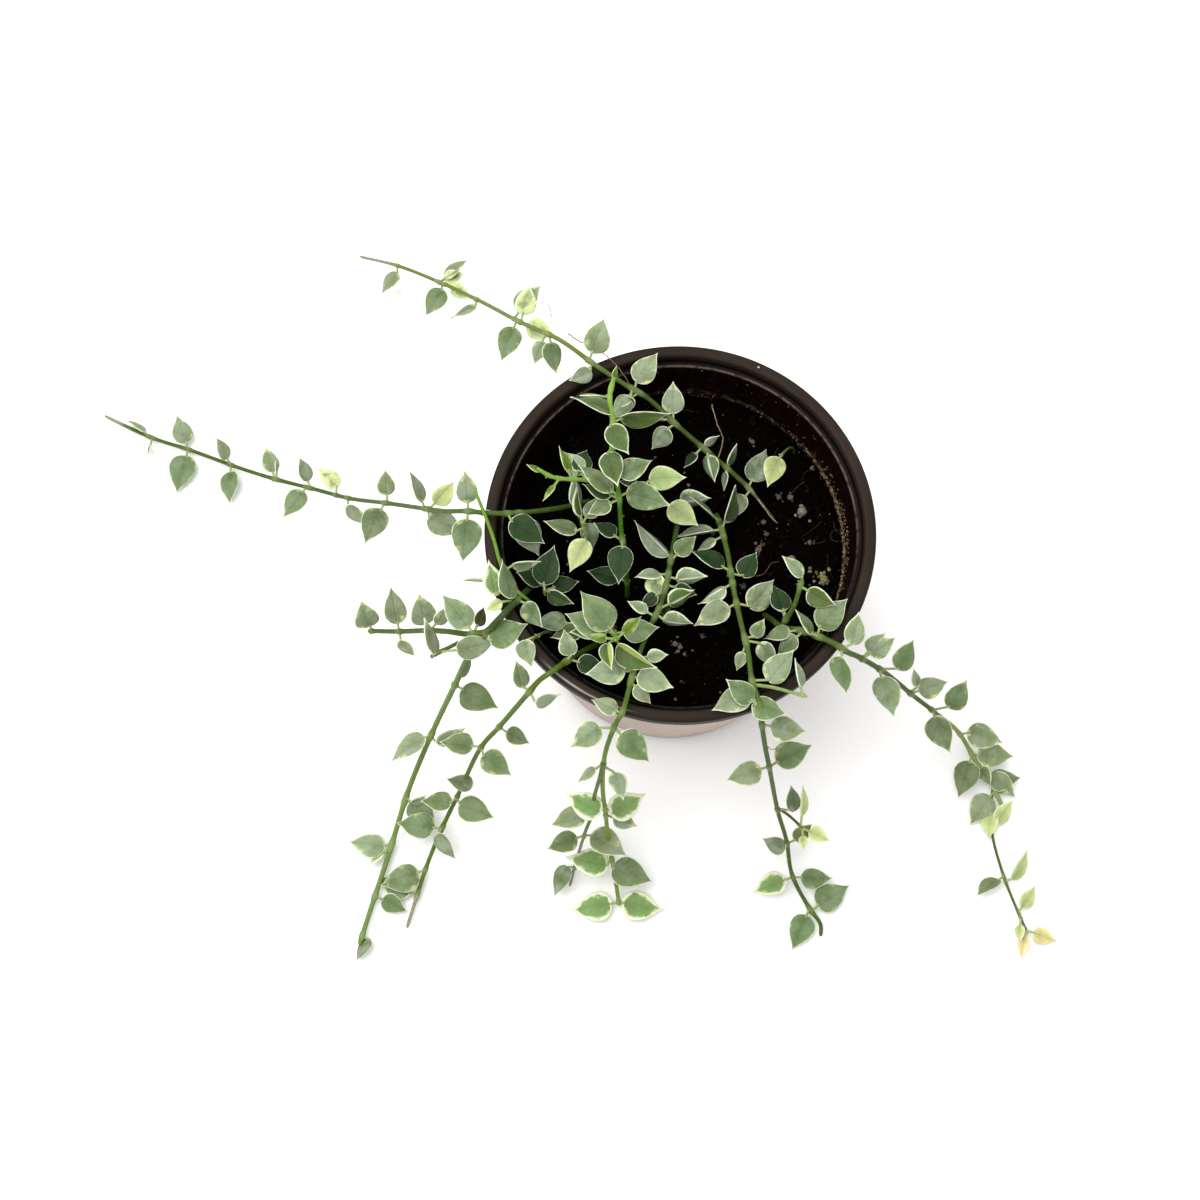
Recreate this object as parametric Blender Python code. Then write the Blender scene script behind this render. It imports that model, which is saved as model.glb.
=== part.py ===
"""Potted dischidia: a round nursery pot, its soil, and trailing vines with paired fleshy leaves.

Metres, +Z up, origin at the middle of the pot's base. The plant's routes are in millimetres.
"""

import math

import bpy
import bmesh
import numpy as np
from mathutils.bvhtree import BVHTree

MM = 0.001

# Pot: a turned wall with a flat lip, a step inside the lip and a ring of drain holes.
POT_HEIGHT = 110.0
RIM_RADIUS = 63.5
LIP_WIDTH = 3.9
LIP_DROP = 4.2
LEDGE_RADIUS = 57.6
BASE_RADIUS = 49.0
INNER_BASE_RADIUS = 46.8
FLOOR = 2.4
POT_SIDES = 64
DRAIN_HOLES = 6
DRAIN_RING = 34.0
DRAIN_RADIUS = 4.0

# Soil: fills the pot to a gently uneven top, clear of the wall.
SOIL_TOP = 85.0
SOIL_GAP = 0.4

# Plant
GAP = 0.35  # clearance kept between separate pieces
STEM_BOW = 0.3
STEM_LONGEST = 14.0
STEM_SIDES = 6
PETIOLE = 2.2
PETIOLE_RADIUS = 0.55
LEAF_SCALE = 0.96
LEAF_RATIO = 0.72  # blade width over length
LEAF_HALF_THICK = 0.62

# Each run of stem: thick is its radius, route its points (first ones buried), and each leaf is
# (distance along the run, heading, rise, roll, blade length, tint[, petiole turn, length, rise]).
# Headings are in degrees, 0 along +X and 90 along +Y.
VINES = {
    "vine_back_left": [
        dict(thick=1.0, route=[
            (36, 12, 66), (33, 10, 85), (28, 15, 90), (23, 20, 93), (14, 27, 97), (0, 37, 104),
            (-10, 45, 109), (-18, 49, 112), (-28, 55, 114.5), (-36, 63, 110), (-41, 69, 103),
            (-49, 77, 92), (-56, 86, 78), (-70, 104, 52), (-86, 121, 29), (-106, 137, 10), (-121, 144, 2.5)],
            leaves=[
                (35, 66, 10, 0, 12, "grey"), (34, -128, -20, 20, 10, "grey"), (45, 66, 18, 70, 8, "grey", 0, 0.3),
                (45, -101, -20, 60, 6.5, "grey", 0, 0.6), (54, -78, -15, 40, 9.5, "green", 0, 1), (56, 34, 10, 62, 6, "grey", 0, 0.3),
                (56, -132, -10, 35, 6.5, "deep"), (69, 92, 15, 0, 11, "sage"),
                (68, -133, -30, -10, 9.5, "grey", -15),
                (70, 178, 0, 75, 10, "green"), (86, 50, 15, 0, 12, "sage", 25),
                (86, -128, -20, 5, 9.5, "grey"),
                (84, -150, -10, 30, 7, "grey"), (87, -95, -35, 20, 5, "brown"), (104, 68, 20, 5, 12.5, "sage"),
                (103, -155, -5, -25, 8, "grey", 60), (131, -112, -10, 15, 9, "sage"),
                (129, -78, -15, -25, 11.5, "green"), (159, 48, 25, -10, 13, "sage"),
                (152, 75, 20, 10, 11, "cream"),
                (153, -25, 0, 25, 11, "cream"), (156, -112, -8, 5, 13, "green"),
                (196, -160, -10, 45, 10.5, "sage", 60), (228, 32, 20, -35, 12, "sage"),
                (229, 5, 25, 10, 9, "cream"),
                (224, -30, 0, 20, 9, "cream"), (227, -123, -8, 5, 12.5, "green", 45),
                (257, -128, -5, 25, 11, "sage", 40)]),
    ],
    "vine_left_long": [
        dict(thick=0.9, route=[
            (-26, 24, 66), (-32, 15, 90), (-40, 10, 100), (-54, 5, 111), (-62, 4, 114.5), (-69, 6, 110),
            (-77, 9, 100), (-84, 14, 86), (-101, 25, 57), (-118, 34, 34), (-134, 43, 17), (-151, 50, 8),
            (-166, 56, 4), (-184, 63, 3), (-199, 68, 3), (-212, 74, 3), (-218, 77, 3)],
            leaves=[
                (61, -32, -10, 0, 13.5, "deep", -30), (57, -63, -24, 0, 13.5, "grey"), (76, 92, 20, 15, 11, "sage"),
                (76, -76, -20, 0, 14.5, "green"),
                (75, -5, 0, 70, 5, "cream"), (109, 112, 25, 60, 12.5, "sage"),
                (105, 45, 20, 30, 10.5, "yellow"),
                (106, -18, -10, 20, 14, "sage", -65), (142, 92, 20, 20, 9.5, "sage"),
                (144, -115, -8, 0, 14, "green"),
                (181, 135, 15, 10, 11, "cream", -50), (172, -40, -15, 60, 12, "sage", -50),
                (198, 108, 25, 50, 10, "grey"), (200, -125, -5, 5, 13, "green", 0, 1.5),
                (216, 105, 20, 15, 10.5, "sage"), (215, 88, 40, 80, 5, "grey"), (236, 118, 40, 40, 10, "sage"),
                (236, -88, 0, 25, 13, "green"), (254, 108, 20, 15, 11.5, "sage"),
                (254, -103, 0, 0, 15.5, "green"),
                (270, 142, 5, 60, 9, "sage"), (269, -100, 0, 55, 4.5, "sage")]),
    ],
    "vine_front_left": [
        dict(thick=1.05, route=[
            (-45, -3, 66), (-49, -15.5, 94), (-51.5, -22, 108), (-54, -26, 112.5), (-57, -30, 114.5),
            (-62, -34, 109), (-65, -36, 101),
            (-69, -38, 91), (-76, -43, 64), (-86, -54, 34), (-96, -71, 12), (-100, -82, 6), (-103, -92, 4),
            (-108, -108, 3), (-113, -125, 3)],
            leaves=[
                (50, -60, 0, 30, 10, "green", 40), (50, -150, 0, 0, 6, "yellow", -15, 4.8, 30), (68, 42, 5, 5, 13.5, "green", -80),
                (113, 58, 10, 60, 8.5, "sage"),
                (113, -30, -5, 0, 14.5, "green"), (148, -148, -5, 30, 15.5, "pale"),
                (150, 22, 5, 60, 12, "pale", -60),
                (181, 20, 20, 60, 6.5, "pale", -60), (183, -52, 0, 5, 13.5, "green", 60),
                (199, 172, 3, 5, 14, "pale", 30), (201, -145, -3, 50, 7, "yellow"),
                (219, -25, 0, 15, 10.5, "green"),
                (234, -128, 0, 40, 10, "grey", 100)]),
        dict(thick=0.9, route=[
            (-62, -34, 109), (-68, -34, 106), (-75, -32, 101), (-82, -30, 94), (-94, -27, 80), (-105, -24, 68)],
            leaves=[
                (5, 128, 15, 15, 14, "sage"), (5, 70, 0, 40, 7, "brown"), (27, 100, 50, 10, 12.5, "sage"),
                (25, 50, 15, 40, 8, "sage"), (43, 103, 15, 30, 13, "sage"), (43, -50, -30, 50, 8, "sage", -30),
                (59, 110, 62, 0, 12.5, "sage")]),
        dict(thick=0.7, route=[
            (-65, -36, 101), (-70, -35.7, 103), (-75, -38, 103.5), (-80.5, -40.5, 102)],
            leaves=[(14, 13, 0, 45, 13.5, "sage", -12, 6, 23), (19, 102, 5, 60, 12.5, "sage", -95, 2.5, 88)]),
    ],
    "vine_front_left_inner": [
        dict(thick=0.95, route=[
            (-23, -26, 66), (-29, -36, 96), (-37, -44, 110), (-41, -48, 114.5), (-45, -50, 111),
            (-49, -53, 104),
            (-59, -59, 80), (-67, -63, 58), (-77, -75, 26), (-83, -84, 13), (-89, -97, 6), (-93, -109, 3),
            (-96, -119, 2.5)],
            leaves=[
                (50, 108, 20, 10, 9, "sage", -60), (48, -15, -10, 0, 9.5, "deep"),
                (70, 102, 15, 30, 9.5, "green", 60),
                (71, 20, -10, 62, 9, "pale", -80, 3.5), (100, -18, -25, 0, 9.5, "green", -20),
                (121, -35, -5, 5, 12.5, "green", -40), (121, 175, -5, 10, 12, "green"),
                (147, 172, 10, -30, 10, "grey", 160), (158, -20, 0, 0, 14, "green", -50),
                (158, 172, -5, 10, 11.5, "green", 50), (176, 172, -3, 10, 14.5, "green"),
                (175, -60, -10, 45, 11.5, "grey", -60), (193, -160, 0, 0, 15, "green"),
                (203, 165, -3, 0, 14, "green")]),
    ],
    "vine_front": [
        dict(thick=1.0, route=[
            (2, 20, 66), (1, 12, 92), (-1, 2, 99), (-3, -9, 102), (-6, -23, 105), (-10, -32, 107),
            (-15, -46, 111),
            (-17, -54, 113), (-19, -61, 114.5), (-21, -64, 111), (-24, -70, 98), (-25, -74, 84), (-25, -79, 64),
            (-24, -84, 45), (-23, -90, 24), (-21, -99, 9), (-19, -111, 3)],
            leaves=[
                (24, -2, 0, 55, 11, "pale", 92, 1.2), (30, -38, 0, 5, 12, "yellow", -152, 6, 61),
                (50, 134, 3, 52, 16.5, "grey", 0, 1),
                (51, 45, 10, 0, 9, "green"), (56, -172, 20, 40, 9, "pale"),
                (56, -64, -5, 20, 10, "cream", -110, 4),
                (60, -95, -20, 0, 8, "deep"), (57, 8, 0, 45, 10.5, "pale", -20), (69, 27, 0, 45, 10, "edge", 0, 3), (60, -15, -12, 0, 8, "deep"), (62, -150, -15, 0, 7, "deep"),
                (72, 150, 5, 30, 7.5, "pale"), (71, -8, 0, 62, 10, "pale", -30), (88, 5, -5, 10, 7, "pale"),
                (93, 180, -5, 0, 13, "pale"), (95, -12, -10, -10, 12.5, "pale", 0, 1),
                (97, -45, -20, 0, 8, "deep", 0, 1),
                (108, 158, 10, 20, 9, "sage", 0, 1), (115, -146, -15, 5, 12, "sage", -34, 3.5),
                (115, -42, -15, 5, 13.5, "green"), (138, -146, -15, 40, 8, "pale"),
                (140, -75, -20, 20, 10, "pale", 45, 3.5),
                (174, 152, 5, 0, 14, "varieg", 85, 4.5, 55), (176, 32, 5, 10, 14, "varieg", -70),
                (182, -20, -5, 0, 9, "sage"),
                (216, 165, 3, 0, 16, "varieg", 70), (217, -20, 0, 0, 15.5, "green", -60),
                (235, -171, 0, 0, 15.5, "varieg"),
                (235, -9, 0, 0, 15.5, "varieg", 0, 0.8)]),
        dict(thick=0.8, route=[
            (-25, -73, 90), (-26, -76, 80), (-28, -80, 60), (-29, -84, 42), (-31, -87, 28), (-35, -97, 8),
            (-37, -104, 3)],
            leaves=[
                (48, -165, 5, 20, 12.5, "sage"), (68, -160, -3, 5, 12, "green"),
                (68, -30, 0, 0, 15, "sage", 30),
                (88, -112, -5, 45, 13, "grey", -73)]),
    ],
    "vine_front_right": [
        dict(thick=1.05, route=[
            (13, 21, 66), (14, 7, 92), (16, -5, 98), (17, -16, 103), (19, -30, 108), (21, -41, 111),
            (22, -51, 113),
            (24, -58, 114.5), (25, -63, 109), (27, -68, 96), (30, -73, 78), (36, -82, 40), (41, -90, 18),
            (44, -101, 6), (50, -112, 3), (54, -118, 3), (54, -122, 2.5)],
            leaves=[
                (28, 134, 25, 68, 11.5, "grey"), (33, -172, 5, 55, 13, "pale"), (33, 68, 15, 65, 13, "edge"),
                (36, -154, -10, 35, 7, "sage"), (51, 151, 5, 35, 12, "deep"),
                (52, 60, 0, 0, 10, "deep", -70, 3),
                (56, -150, -10, 45, 10.5, "pale"), (64, 47, 5, 25, 12.5, "sage", -60, 3.5),
                (64, -154, -5, 10, 13, "sage"), (77, 65, 10, 0, 7, "green", -60),
                (78, -60, -10, 40, 9.5, "sage", 50, 4),
                (79, -110, -20, 20, 6.5, "sage"), (93, -157, -5, 20, 13.5, "sage", 40),
                (92, 48, 10, 5, 13, "sage", -48, 4.5),
                (101, 145, 10, 0, 11, "green"), (101, -18, 0, 0, 11.5, "green", 180, 1),
                (109, -12, -5, 0, 12, "sage"),
                (139, -163, -3, 5, 12.5, "sage"), (139, 28, 5, 5, 13.5, "green"),
                (178, 97, 20, 35, 9.5, "grey", -105, 5),
                (205, 45, 10, 10, 9, "olive", -20), (205, 152, -10, -25, 9.5, "grey", 90, 1),
                (221, -160, 0, 25, 13.5, "varieg"),
                (221, -3, 0, 5, 12, "green"), (235, 32, 0, 0, 14.5, "green"), (234, -115, 0, 0, 14, "green")]),
        dict(thick=0.7, route=[(22, -52, 113), (28, -53, 114),
        (39, -56, 114)], leaves=[(16, 100, 15, 65, 9.5, "pale")]),
        dict(thick=0.6, route=[(35, -81, 43), (39, -83, 41), (44, -87, 38), (47, -90, 36)],
             leaves=[(12, 85, 20, 60, 11, "yellow", 0, 3.5), (13, -25, 5, 10, 8, "yellow"),
             (13, -90, 0, 20, 5, "yellow")]),
    ],
    "vine_right": [
        dict(thick=1.05, route=[
            (28, -17, 66), (30, -26, 94), (33, -31, 103), (39, -34, 110), (43, -36, 112), (48, -39, 114.5),
            (52, -41, 112), (57, -41, 104), (68, -42, 85), (82, -44, 56), (94, -46, 33), (105, -50, 16),
            (112, -58, 7), (119, -68, 3.5), (123, -77, 3)],
            leaves=[
                (50, -140, -25, 15, 9, "green"), (48, -170, -10, 30, 9, "green"),
                (56, 122, 15, 50, 9.5, "green", 40),
                (55, 45, 15, 0, 13, "deep", 30), (65, 72, 10, 25, 11, "sage", -40),
                (64, -84, -35, 58, 13.5, "green"),
                (79, 30, 10, 0, 10, "sage"), (79, 48, 12, 20, 8.5, "sage"),
                (94, 62, 10, 30, 12, "green", -62, 5),
                (93, -76, -20, 35, 14.5, "sage"), (127, 100, 10, 30, 7, "sage", -60),
                (128, 18, 15, 0, 11, "sage"),
                (152, 55, 10, 15, 12.5, "green", -45, 5), (151, -68, -8, 20, 14.5, "green"),
                (178, -14, 0, 0, 14, "sage", 25), (188, 2, 0, 5, 14, "sage", -30),
                (189, -108, -3, 0, 14.5, "green"),
                (192, -60, -5, 30, 8, "green"), (199, -50, 0, 30, 12, "sage", 60),
                (198, 5, 0, 0, 12.5, "deep", -60),
                (205, -125, 0, 0, 13.5, "sage")]),
        dict(thick=0.6, route=[
            (119, -68, 3.5), (118, -75, 3), (118, -85, 2.5), (121, -99, 2.5), (125, -111, 2.5),
            (129, -121, 2.5)],
            leaves=[
                (7, -98, 0, 20, 10, "yellow"), (15, 50, 5, 40, 11, "yellow"),
                (35, 60, 5, 55, 13, "yellow", -40),
                (33, -144, -2, 50, 11.5, "green"), (47, 55, 5, 30, 10, "yellow"), (49, -96, 0, 50, 7, "yellow"),
                (57, -20, 0, 10, 9.5, "tan"), (57, -106, 0, 50, 8, "tan")]),
        dict(thick=1.0, route=[(33, -30.5, 102), (34, -29, 107), (36, -26, 112), (38, -19, 118)],
             leaves=[(20, 142, 22, 25, 9.5, "sage", -60, 1.5), (18.5, -33, 5, 45, 10.5, "edge"),
                     (5, 127, -5, 10, 10, "deep"), (4, 105, -15, 20, 7.5, "grey")]),
    ],
    "shoot_upright": [
        dict(thick=1.1, route=[
            (-17, -16, 66), (-17, -15, 92), (-18, -7, 108), (-19, -3, 112), (-20, 7, 124), (-22, 18, 134),
            (-22, 27, 140), (-23, 33, 143), (-21, 41, 145)],
            leaves=[
                (49, -97, -5, 0, 12.5, "deep", 8, 2), (30, 163, 0, 15, 11, "deep"), (48, 145, 0, 20, 8.5, "deep"),
                (65, -18, 0, 40, 14.5, "green", 44),
                (65, 142, 10, 35, 14, "green"), (64, 155, 5, 20, 10, "deep"), (64, -155, -10, 0, 8.5, "green"),
                (82, -70, -10, 0, 11.5, "edge", -60, 1.5), (75, 28, 5, -10, 11.5, "green", -75),
                (91, -52, -15, -5, 11, "edge", -60, 1.5), (90, 157, 8, 50, 14.5, "edge", -60),
                (90, 1, 8, 85, 16, "edge", 25),
                (98, 178, 15, 60, 6.5, "bright"), (101, 75, 20, 20, 4, "bright")]),
        dict(thick=0.9, route=[(-20, 6, 123), (-25, 13, 119), (-30, 14, 118), (-41, 14, 121), (-46, 16, 124)],
            leaves=[
                (15, 130, 0, 0, 10, "sage"), (19, 70, -20, 0, 10, "deep"), (20, 112, 10, 45, 9, "bright"),
                (24, -125, 0, 45, 6.5, "bright"), (28, 155, 10, 20, 5, "bright")]),
    ],
    "shoot_left_rim": [
        dict(thick=0.9, route=[
            (-43, -25, 66), (-46, -27, 97), (-48.5, -24, 108), (-54.5, -19.5, 112.8), (-58, -12, 113.8),
            (-60, -5, 115), (-63, 3, 117), (-66, 10, 119)],
            leaves=[
                (52, 100, 5, 48, 13.4, "green", 171, 3.7, 22),
                (50, 100, 5, 20, 12, "varieg", 96, 5.8, 13), (54, 172, 0, 75, 7.5, "pale", 11, 7, 2),
                (57, 4, 0, 76, 9.5, "pale", 32, 2.8, -1)]),
    ],
    "shoot_centre_left": [
        dict(thick=0.8, route=[(-33, 14, 66), (-33, 11, 95), (-32, 4, 104), (-30, -3, 108)],
            leaves=[
                (35, 98, 30, 50, 11, "pale"), (42, 100, 20, 65, 10, "edge"), (42, 60, 10, 0, 8, "green"),
                (44, 162, 5, 35, 11.5, "green", 40), (46, -118, -5, 0, 12, "yellow", 33), (38, -72, -10, 5, 9, "grey", 20)]),
    ],
    "shoot_front_leaves": [
        dict(thick=1.0, route=[(-19, -23, 66), (-22, -30, 98), (-21, -37, 115), (-21, -40, 123)],
            leaves=[
                (48, 130, 10, 5, 15.5, "green"), (47, 155, 0, 10, 15, "green"), (43, 118, -10, 0, 11, "green"),
                (44, 175, -5, 25, 12, "edge"), (42, 180, -15, 10, 8, "deep"), (46, 12, -5, 0, 12, "green"),
                (41, 152, -10, 50, 11, "edge"), (57, 178, 15, 0, 7, "bright"), (57, 38, 15, 0, 8, "bright"),
                (55, -86, -5, 40, 9, "edge", -60), (55, -36, 0, 52, 14.5, "edge", -30, 1.5)]),
        dict(thick=0.6, route=[(-22, -30, 98), (-26, -29.8, 99.5), (-32, -29.5, 99.5), (-37, -29, 99)],
             leaves=[(14, 172, 0, 15, 10.5, "grey", -25, 1.5), (9, -178, -3, 20, 11, "edge", 40, 2)]),
    ],
    "shoot_left_low": [
        dict(thick=0.8, route=[(-40, -31, 66), (-42, -31.5, 97), (-44, -33.5, 106), (-47, -37, 113)],
            leaves=[(46, -79, 0, 5, 9.3, "sage", -73, 4, 25)]),
    ],
    "shoot_left_dark": [
        dict(thick=0.8, route=[(-41, -10, 66), (-43, -14, 92), (-44, -20, 104)],
            leaves=[(38, 74, 10, 0, 13.5, "deep", 25), (33, 176, 0, 20, 9, "deep"), (36, -28, -5, 55, 9.5, "edge", 0, 0.5),
            (36, 20, -10, 0, 9, "deep")]),
    ],
    "shoot_centre": [
        dict(thick=0.8, route=[(-10, 23, 66), (-11, 20, 95), (-11, 17, 104)],
            leaves=[(37, 2, 5, 10, 12.5, "yellow", 40, 1.5), (33, 175, 0, 10, 6, "deep")]),
    ],
    "sprout_wall": [
        dict(thick=0.6, route=[(39, 33, 66), (40, 34.5, 86), (37.5, 33, 94), (34, 29, 97)],
            leaves=[(34, -118, 0, 0, 11, "yellow", 0, 1)]),
    ],
}


def smooth(points):
    """A centripetal Catmull-Rom curve through the points, and the distance along it at each sample."""
    p = np.array(points, float)
    p = np.vstack([2 * p[0] - p[1], p, 2 * p[-1] - p[-2]])
    out = [p[1]]
    for i in range(1, len(p) - 2):
        p0, p1, p2, p3 = p[i - 1:i + 3]
        t1 = np.linalg.norm(p1 - p0) ** 0.5
        t2 = t1 + np.linalg.norm(p2 - p1) ** 0.5
        t3 = t2 + np.linalg.norm(p3 - p2) ** 0.5
        for t in np.linspace(t1, t2, 13)[1:]:
            a1 = (t1 - t) / t1 * p0 + t / t1 * p1
            a2 = (t2 - t) / (t2 - t1) * p1 + (t - t1) / (t2 - t1) * p2
            a3 = (t3 - t) / (t3 - t2) * p2 + (t - t2) / (t3 - t2) * p3
            b1 = (t2 - t) / t2 * a1 + t / t2 * a2
            b2 = (t3 - t) / (t3 - t1) * a2 + (t - t1) / (t3 - t1) * a3
            out.append((t2 - t) / (t2 - t1) * b1 + (t - t1) / (t2 - t1) * b2)
    out = np.array(out)
    return out, np.r_[0, np.cumsum(np.linalg.norm(np.diff(out, axis=0), axis=1))]


def along(curve, distance):
    points, reach = curve
    return np.array([np.interp(distance, reach, points[:, k]) for k in range(3)])


def leaf_frame(heading, rise, roll):
    """Directions of a blade: along it, across it, and out of its upper face."""
    h, r, q = np.radians([heading, rise, roll])
    ahead = np.array([math.cos(h) * math.cos(r), math.sin(h) * math.cos(r), math.sin(r)])
    up = np.array([-math.cos(h) * math.sin(r), -math.sin(h) * math.sin(r), math.cos(r)])
    side = np.cross(up, ahead)
    return ahead, math.cos(q) * side + math.sin(q) * up, math.cos(q) * up - math.sin(q) * side


def leaf_pose(curve, thick, row, lift=0.0, swing=0.0):
    """Where a leaf leaves the stem, where its blade starts, the blade's directions and length."""
    distance, heading, rise, roll, length = row[:5]
    turn = row[6] if len(row) > 6 else 0.0
    reach = row[7] if len(row) > 7 else PETIOLE
    climb = row[8] if len(row) > 8 else max(rise + lift, 0)
    joint = along(curve, min(distance, curve[1][-1] - 1.0))
    stalk = leaf_frame(heading + turn + swing, climb, 0)[0]
    blade = leaf_frame(heading + swing, rise + lift, roll)
    return joint, joint + stalk * (thick + reach), blade, length * LEAF_SCALE


def diamond(centre, side, up, width, height):
    return [centre - side * width, centre - up * height, centre + side * width, centre + up * height]


def leaf_solids(joint, base, blade, length, grow=0.0):
    """Closed faceted solids of a leaf: its stalk from inside the stem, and its pointed blade.

    They're one solid where the stalk runs on into the blade, and two where the blade turns back.
    """
    ahead, side, up = blade
    half = LEAF_RATIO * length / 2
    stalk = (base - joint) / np.linalg.norm(base - joint)
    thin = PETIOLE_RADIUS + grow
    straight = stalk @ ahead > 0.7
    start = [diamond(joint, side, up, thin, thin)] if straight else []
    first = base if straight else base - ahead * 0.7
    rings = start + [
        diamond(first, side, up, thin + 0.15, thin),
        diamond(base + ahead * 0.27 * length, side, up, half + grow, LEAF_HALF_THICK + grow),
    ]
    solids = [lofted(rings, base + ahead * (length + grow))]
    if not straight:
        across = np.cross(up, stalk)
        across /= np.linalg.norm(across)
        over = np.cross(stalk, across)
        rings = [diamond(joint, across, over, thin, thin), diamond(base, across, over, thin, thin)]
        solids.append(lofted(rings, base + stalk * 0.5))
    return solids


def lofted(rings, tip):
    """A closed solid through four-cornered rings to a point."""
    points = [p for ring in rings for p in ring] + [tip]
    faces = [(3, 2, 1, 0)]
    for r in range(len(rings) - 1):
        for k in range(4):
            a, b = r * 4 + k, r * 4 + (k + 1) % 4
            faces.append((a, b, b + 4, a + 4))
    last = 4 * (len(rings) - 1)
    faces += [(last + k, last + (k + 1) % 4, len(points) - 1) for k in range(4)]
    return np.array(points), faces


def stations(curve, bow=STEM_BOW, longest=STEM_LONGEST):
    """Distances along the curve that keep it within bow of the straight lines between them."""
    points, reach = curve
    picked = [0]
    for i in range(2, len(points)):
        start = points[picked[-1]]
        chord = points[i] - start
        chord = chord / np.linalg.norm(chord)
        between = points[picked[-1] + 1:i] - start
        away = between - np.outer(between @ chord, chord)
        if np.linalg.norm(away, axis=1).max() > bow or reach[i] - reach[picked[-1]] > longest:
            picked.append(i - 1)
    picked.append(len(points) - 1)
    return reach[picked]


def stem_solid(curve, thick, grow=0.0, sides=STEM_SIDES):
    """A closed tube along the curve that thins towards its tip."""
    distances = stations(curve)
    centres = [along(curve, d) for d in distances]
    points, faces = [], []
    side = np.array([1.0, 0.0, 0.0])
    for i, centre in enumerate(centres):
        ahead = centres[min(i + 1, len(centres) - 1)] - centres[max(i - 1, 0)]
        ahead /= np.linalg.norm(ahead)
        side = side - ahead * (side @ ahead)
        side /= np.linalg.norm(side)
        up = np.cross(ahead, side)
        radius = thick * (1 - 0.22 * distances[i] / distances[-1]) + grow
        for k in range(sides):
            angle = 2 * math.pi * (k + 0.5) / sides
            points.append(centre + radius * (math.cos(angle) * side + math.sin(angle) * up))
        if i:
            for k in range(sides):
                a, b = (i - 1) * sides + k, (i - 1) * sides + (k + 1) % sides
                faces.append((a, b, b + sides, a + sides))
    faces.append(tuple(reversed(range(sides))))
    faces.append(tuple(range(len(points) - sides, len(points))))
    return np.array(points), faces


def tree_of(points, faces):
    return BVHTree.FromPolygons([tuple(p) for p in points], faces, all_triangles=False)


LIFTS = [(0, 0)] + [(s * a, t * b) for a in (6, 12, 18, 25, 33, 42, 52) for b in (0, 10, 20)
                    for s in (1, -1) for t in (1, -1)]


def settle(vines, pot):
    """Poses of every leaf, each turned by small steps until it clears the other pieces."""
    curves = {name: [smooth(run["route"]) for run in runs] for name, runs in vines.items()}
    stems = {}
    for name, runs in vines.items():
        stems[name] = [tree_of(*stem_solid(c, run["thick"], GAP)) for c, run in zip(curves[name], runs)]
    placed = {name: [] for name in vines}
    poses = {name: [[] for _ in runs] for name, runs in vines.items()}
    stuck = []
    for name, runs in vines.items():
        for index, (curve, run) in enumerate(zip(curves[name], runs)):
            for row in run["leaves"]:
                for lift, swing in LIFTS:
                    pose = leaf_pose(curve, run["thick"], row, lift, swing)
                    solids = leaf_solids(*pose, grow=GAP)
                    outer = np.vstack([solids[0][0][4:]] + [points[4:] for points, _ in solids[1:]])
                    if outer[:, 2].min() < 0.3:
                        continue
                    level = np.hypot(outer[:, 0], outer[:, 1])
                    if (outer[level < LEDGE_RADIUS + 1, 2] < SOIL_TOP + 2.2).any():
                        continue
                    trees = [tree_of(points, faces) for points, faces in solids]
                    near = [pot] + [t for other in vines if other != name for t in stems[other] + placed[other]]
                    if not any(tree.overlap(other) for tree in trees for other in near):
                        break
                else:
                    stuck.append((name, index, row))
                    continue
                placed[name] += trees
                poses[name][index].append((pose, row, (lift, swing)))
    return curves, poses, stuck


def pot_profile():
    """Half of the pot's section as (radius, height), from the middle of the base round to the floor."""
    lip_inner = RIM_RADIUS - LIP_WIDTH
    return [
        (0.0, 0.0), (BASE_RADIUS - 1.0, 0.0), (BASE_RADIUS, 1.0), (RIM_RADIUS - 1.6, 103.0),
        (RIM_RADIUS - 0.5, 104.0), (RIM_RADIUS, 105.0), (RIM_RADIUS, POT_HEIGHT - 0.7),
        (RIM_RADIUS - 0.7, POT_HEIGHT), (lip_inner + 0.6, POT_HEIGHT), (lip_inner, POT_HEIGHT - 0.6),
        (lip_inner - 0.2, POT_HEIGHT - LIP_DROP), (LEDGE_RADIUS, POT_HEIGHT - LIP_DROP - 0.3),
        (INNER_BASE_RADIUS + 1.0, FLOOR + 1.0), (INNER_BASE_RADIUS, FLOOR), (0.0, FLOOR),
    ]


def inner_radius(height):
    (r0, z0), (r1, z1) = pot_profile()[11:13]
    return r0 + (r1 - r0) * (height - z0) / (z1 - z0)


def turned(profile, sides):
    """Points and faces of a profile turned about the Z axis; its ends lie on the axis."""
    points = [(0.0, 0.0, profile[0][1]), (0.0, 0.0, profile[-1][1])]
    ring = profile[1:-1]
    for r, z in ring:
        for k in range(sides):
            a = 2 * math.pi * k / sides
            points.append((r * math.cos(a), r * math.sin(a), z))
    faces = []
    for k in range(sides):
        n = (k + 1) % sides
        faces.append((0, 2 + n, 2 + k))
        for i in range(len(ring) - 1):
            a, b = 2 + i * sides, 2 + (i + 1) * sides
            faces.append((a + k, a + n, b + n, b + k))
        last = 2 + (len(ring) - 1) * sides
        faces.append((1, last + k, last + n))
    return np.array(points), faces


def material(name, colour, roughness):
    made = bpy.data.materials.new(name)
    made.use_nodes = True
    shader = made.node_tree.nodes["Principled BSDF"]
    shader.inputs["Base Color"].default_value = (*colour, 1.0)
    shader.inputs["Roughness"].default_value = roughness
    return made


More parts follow.
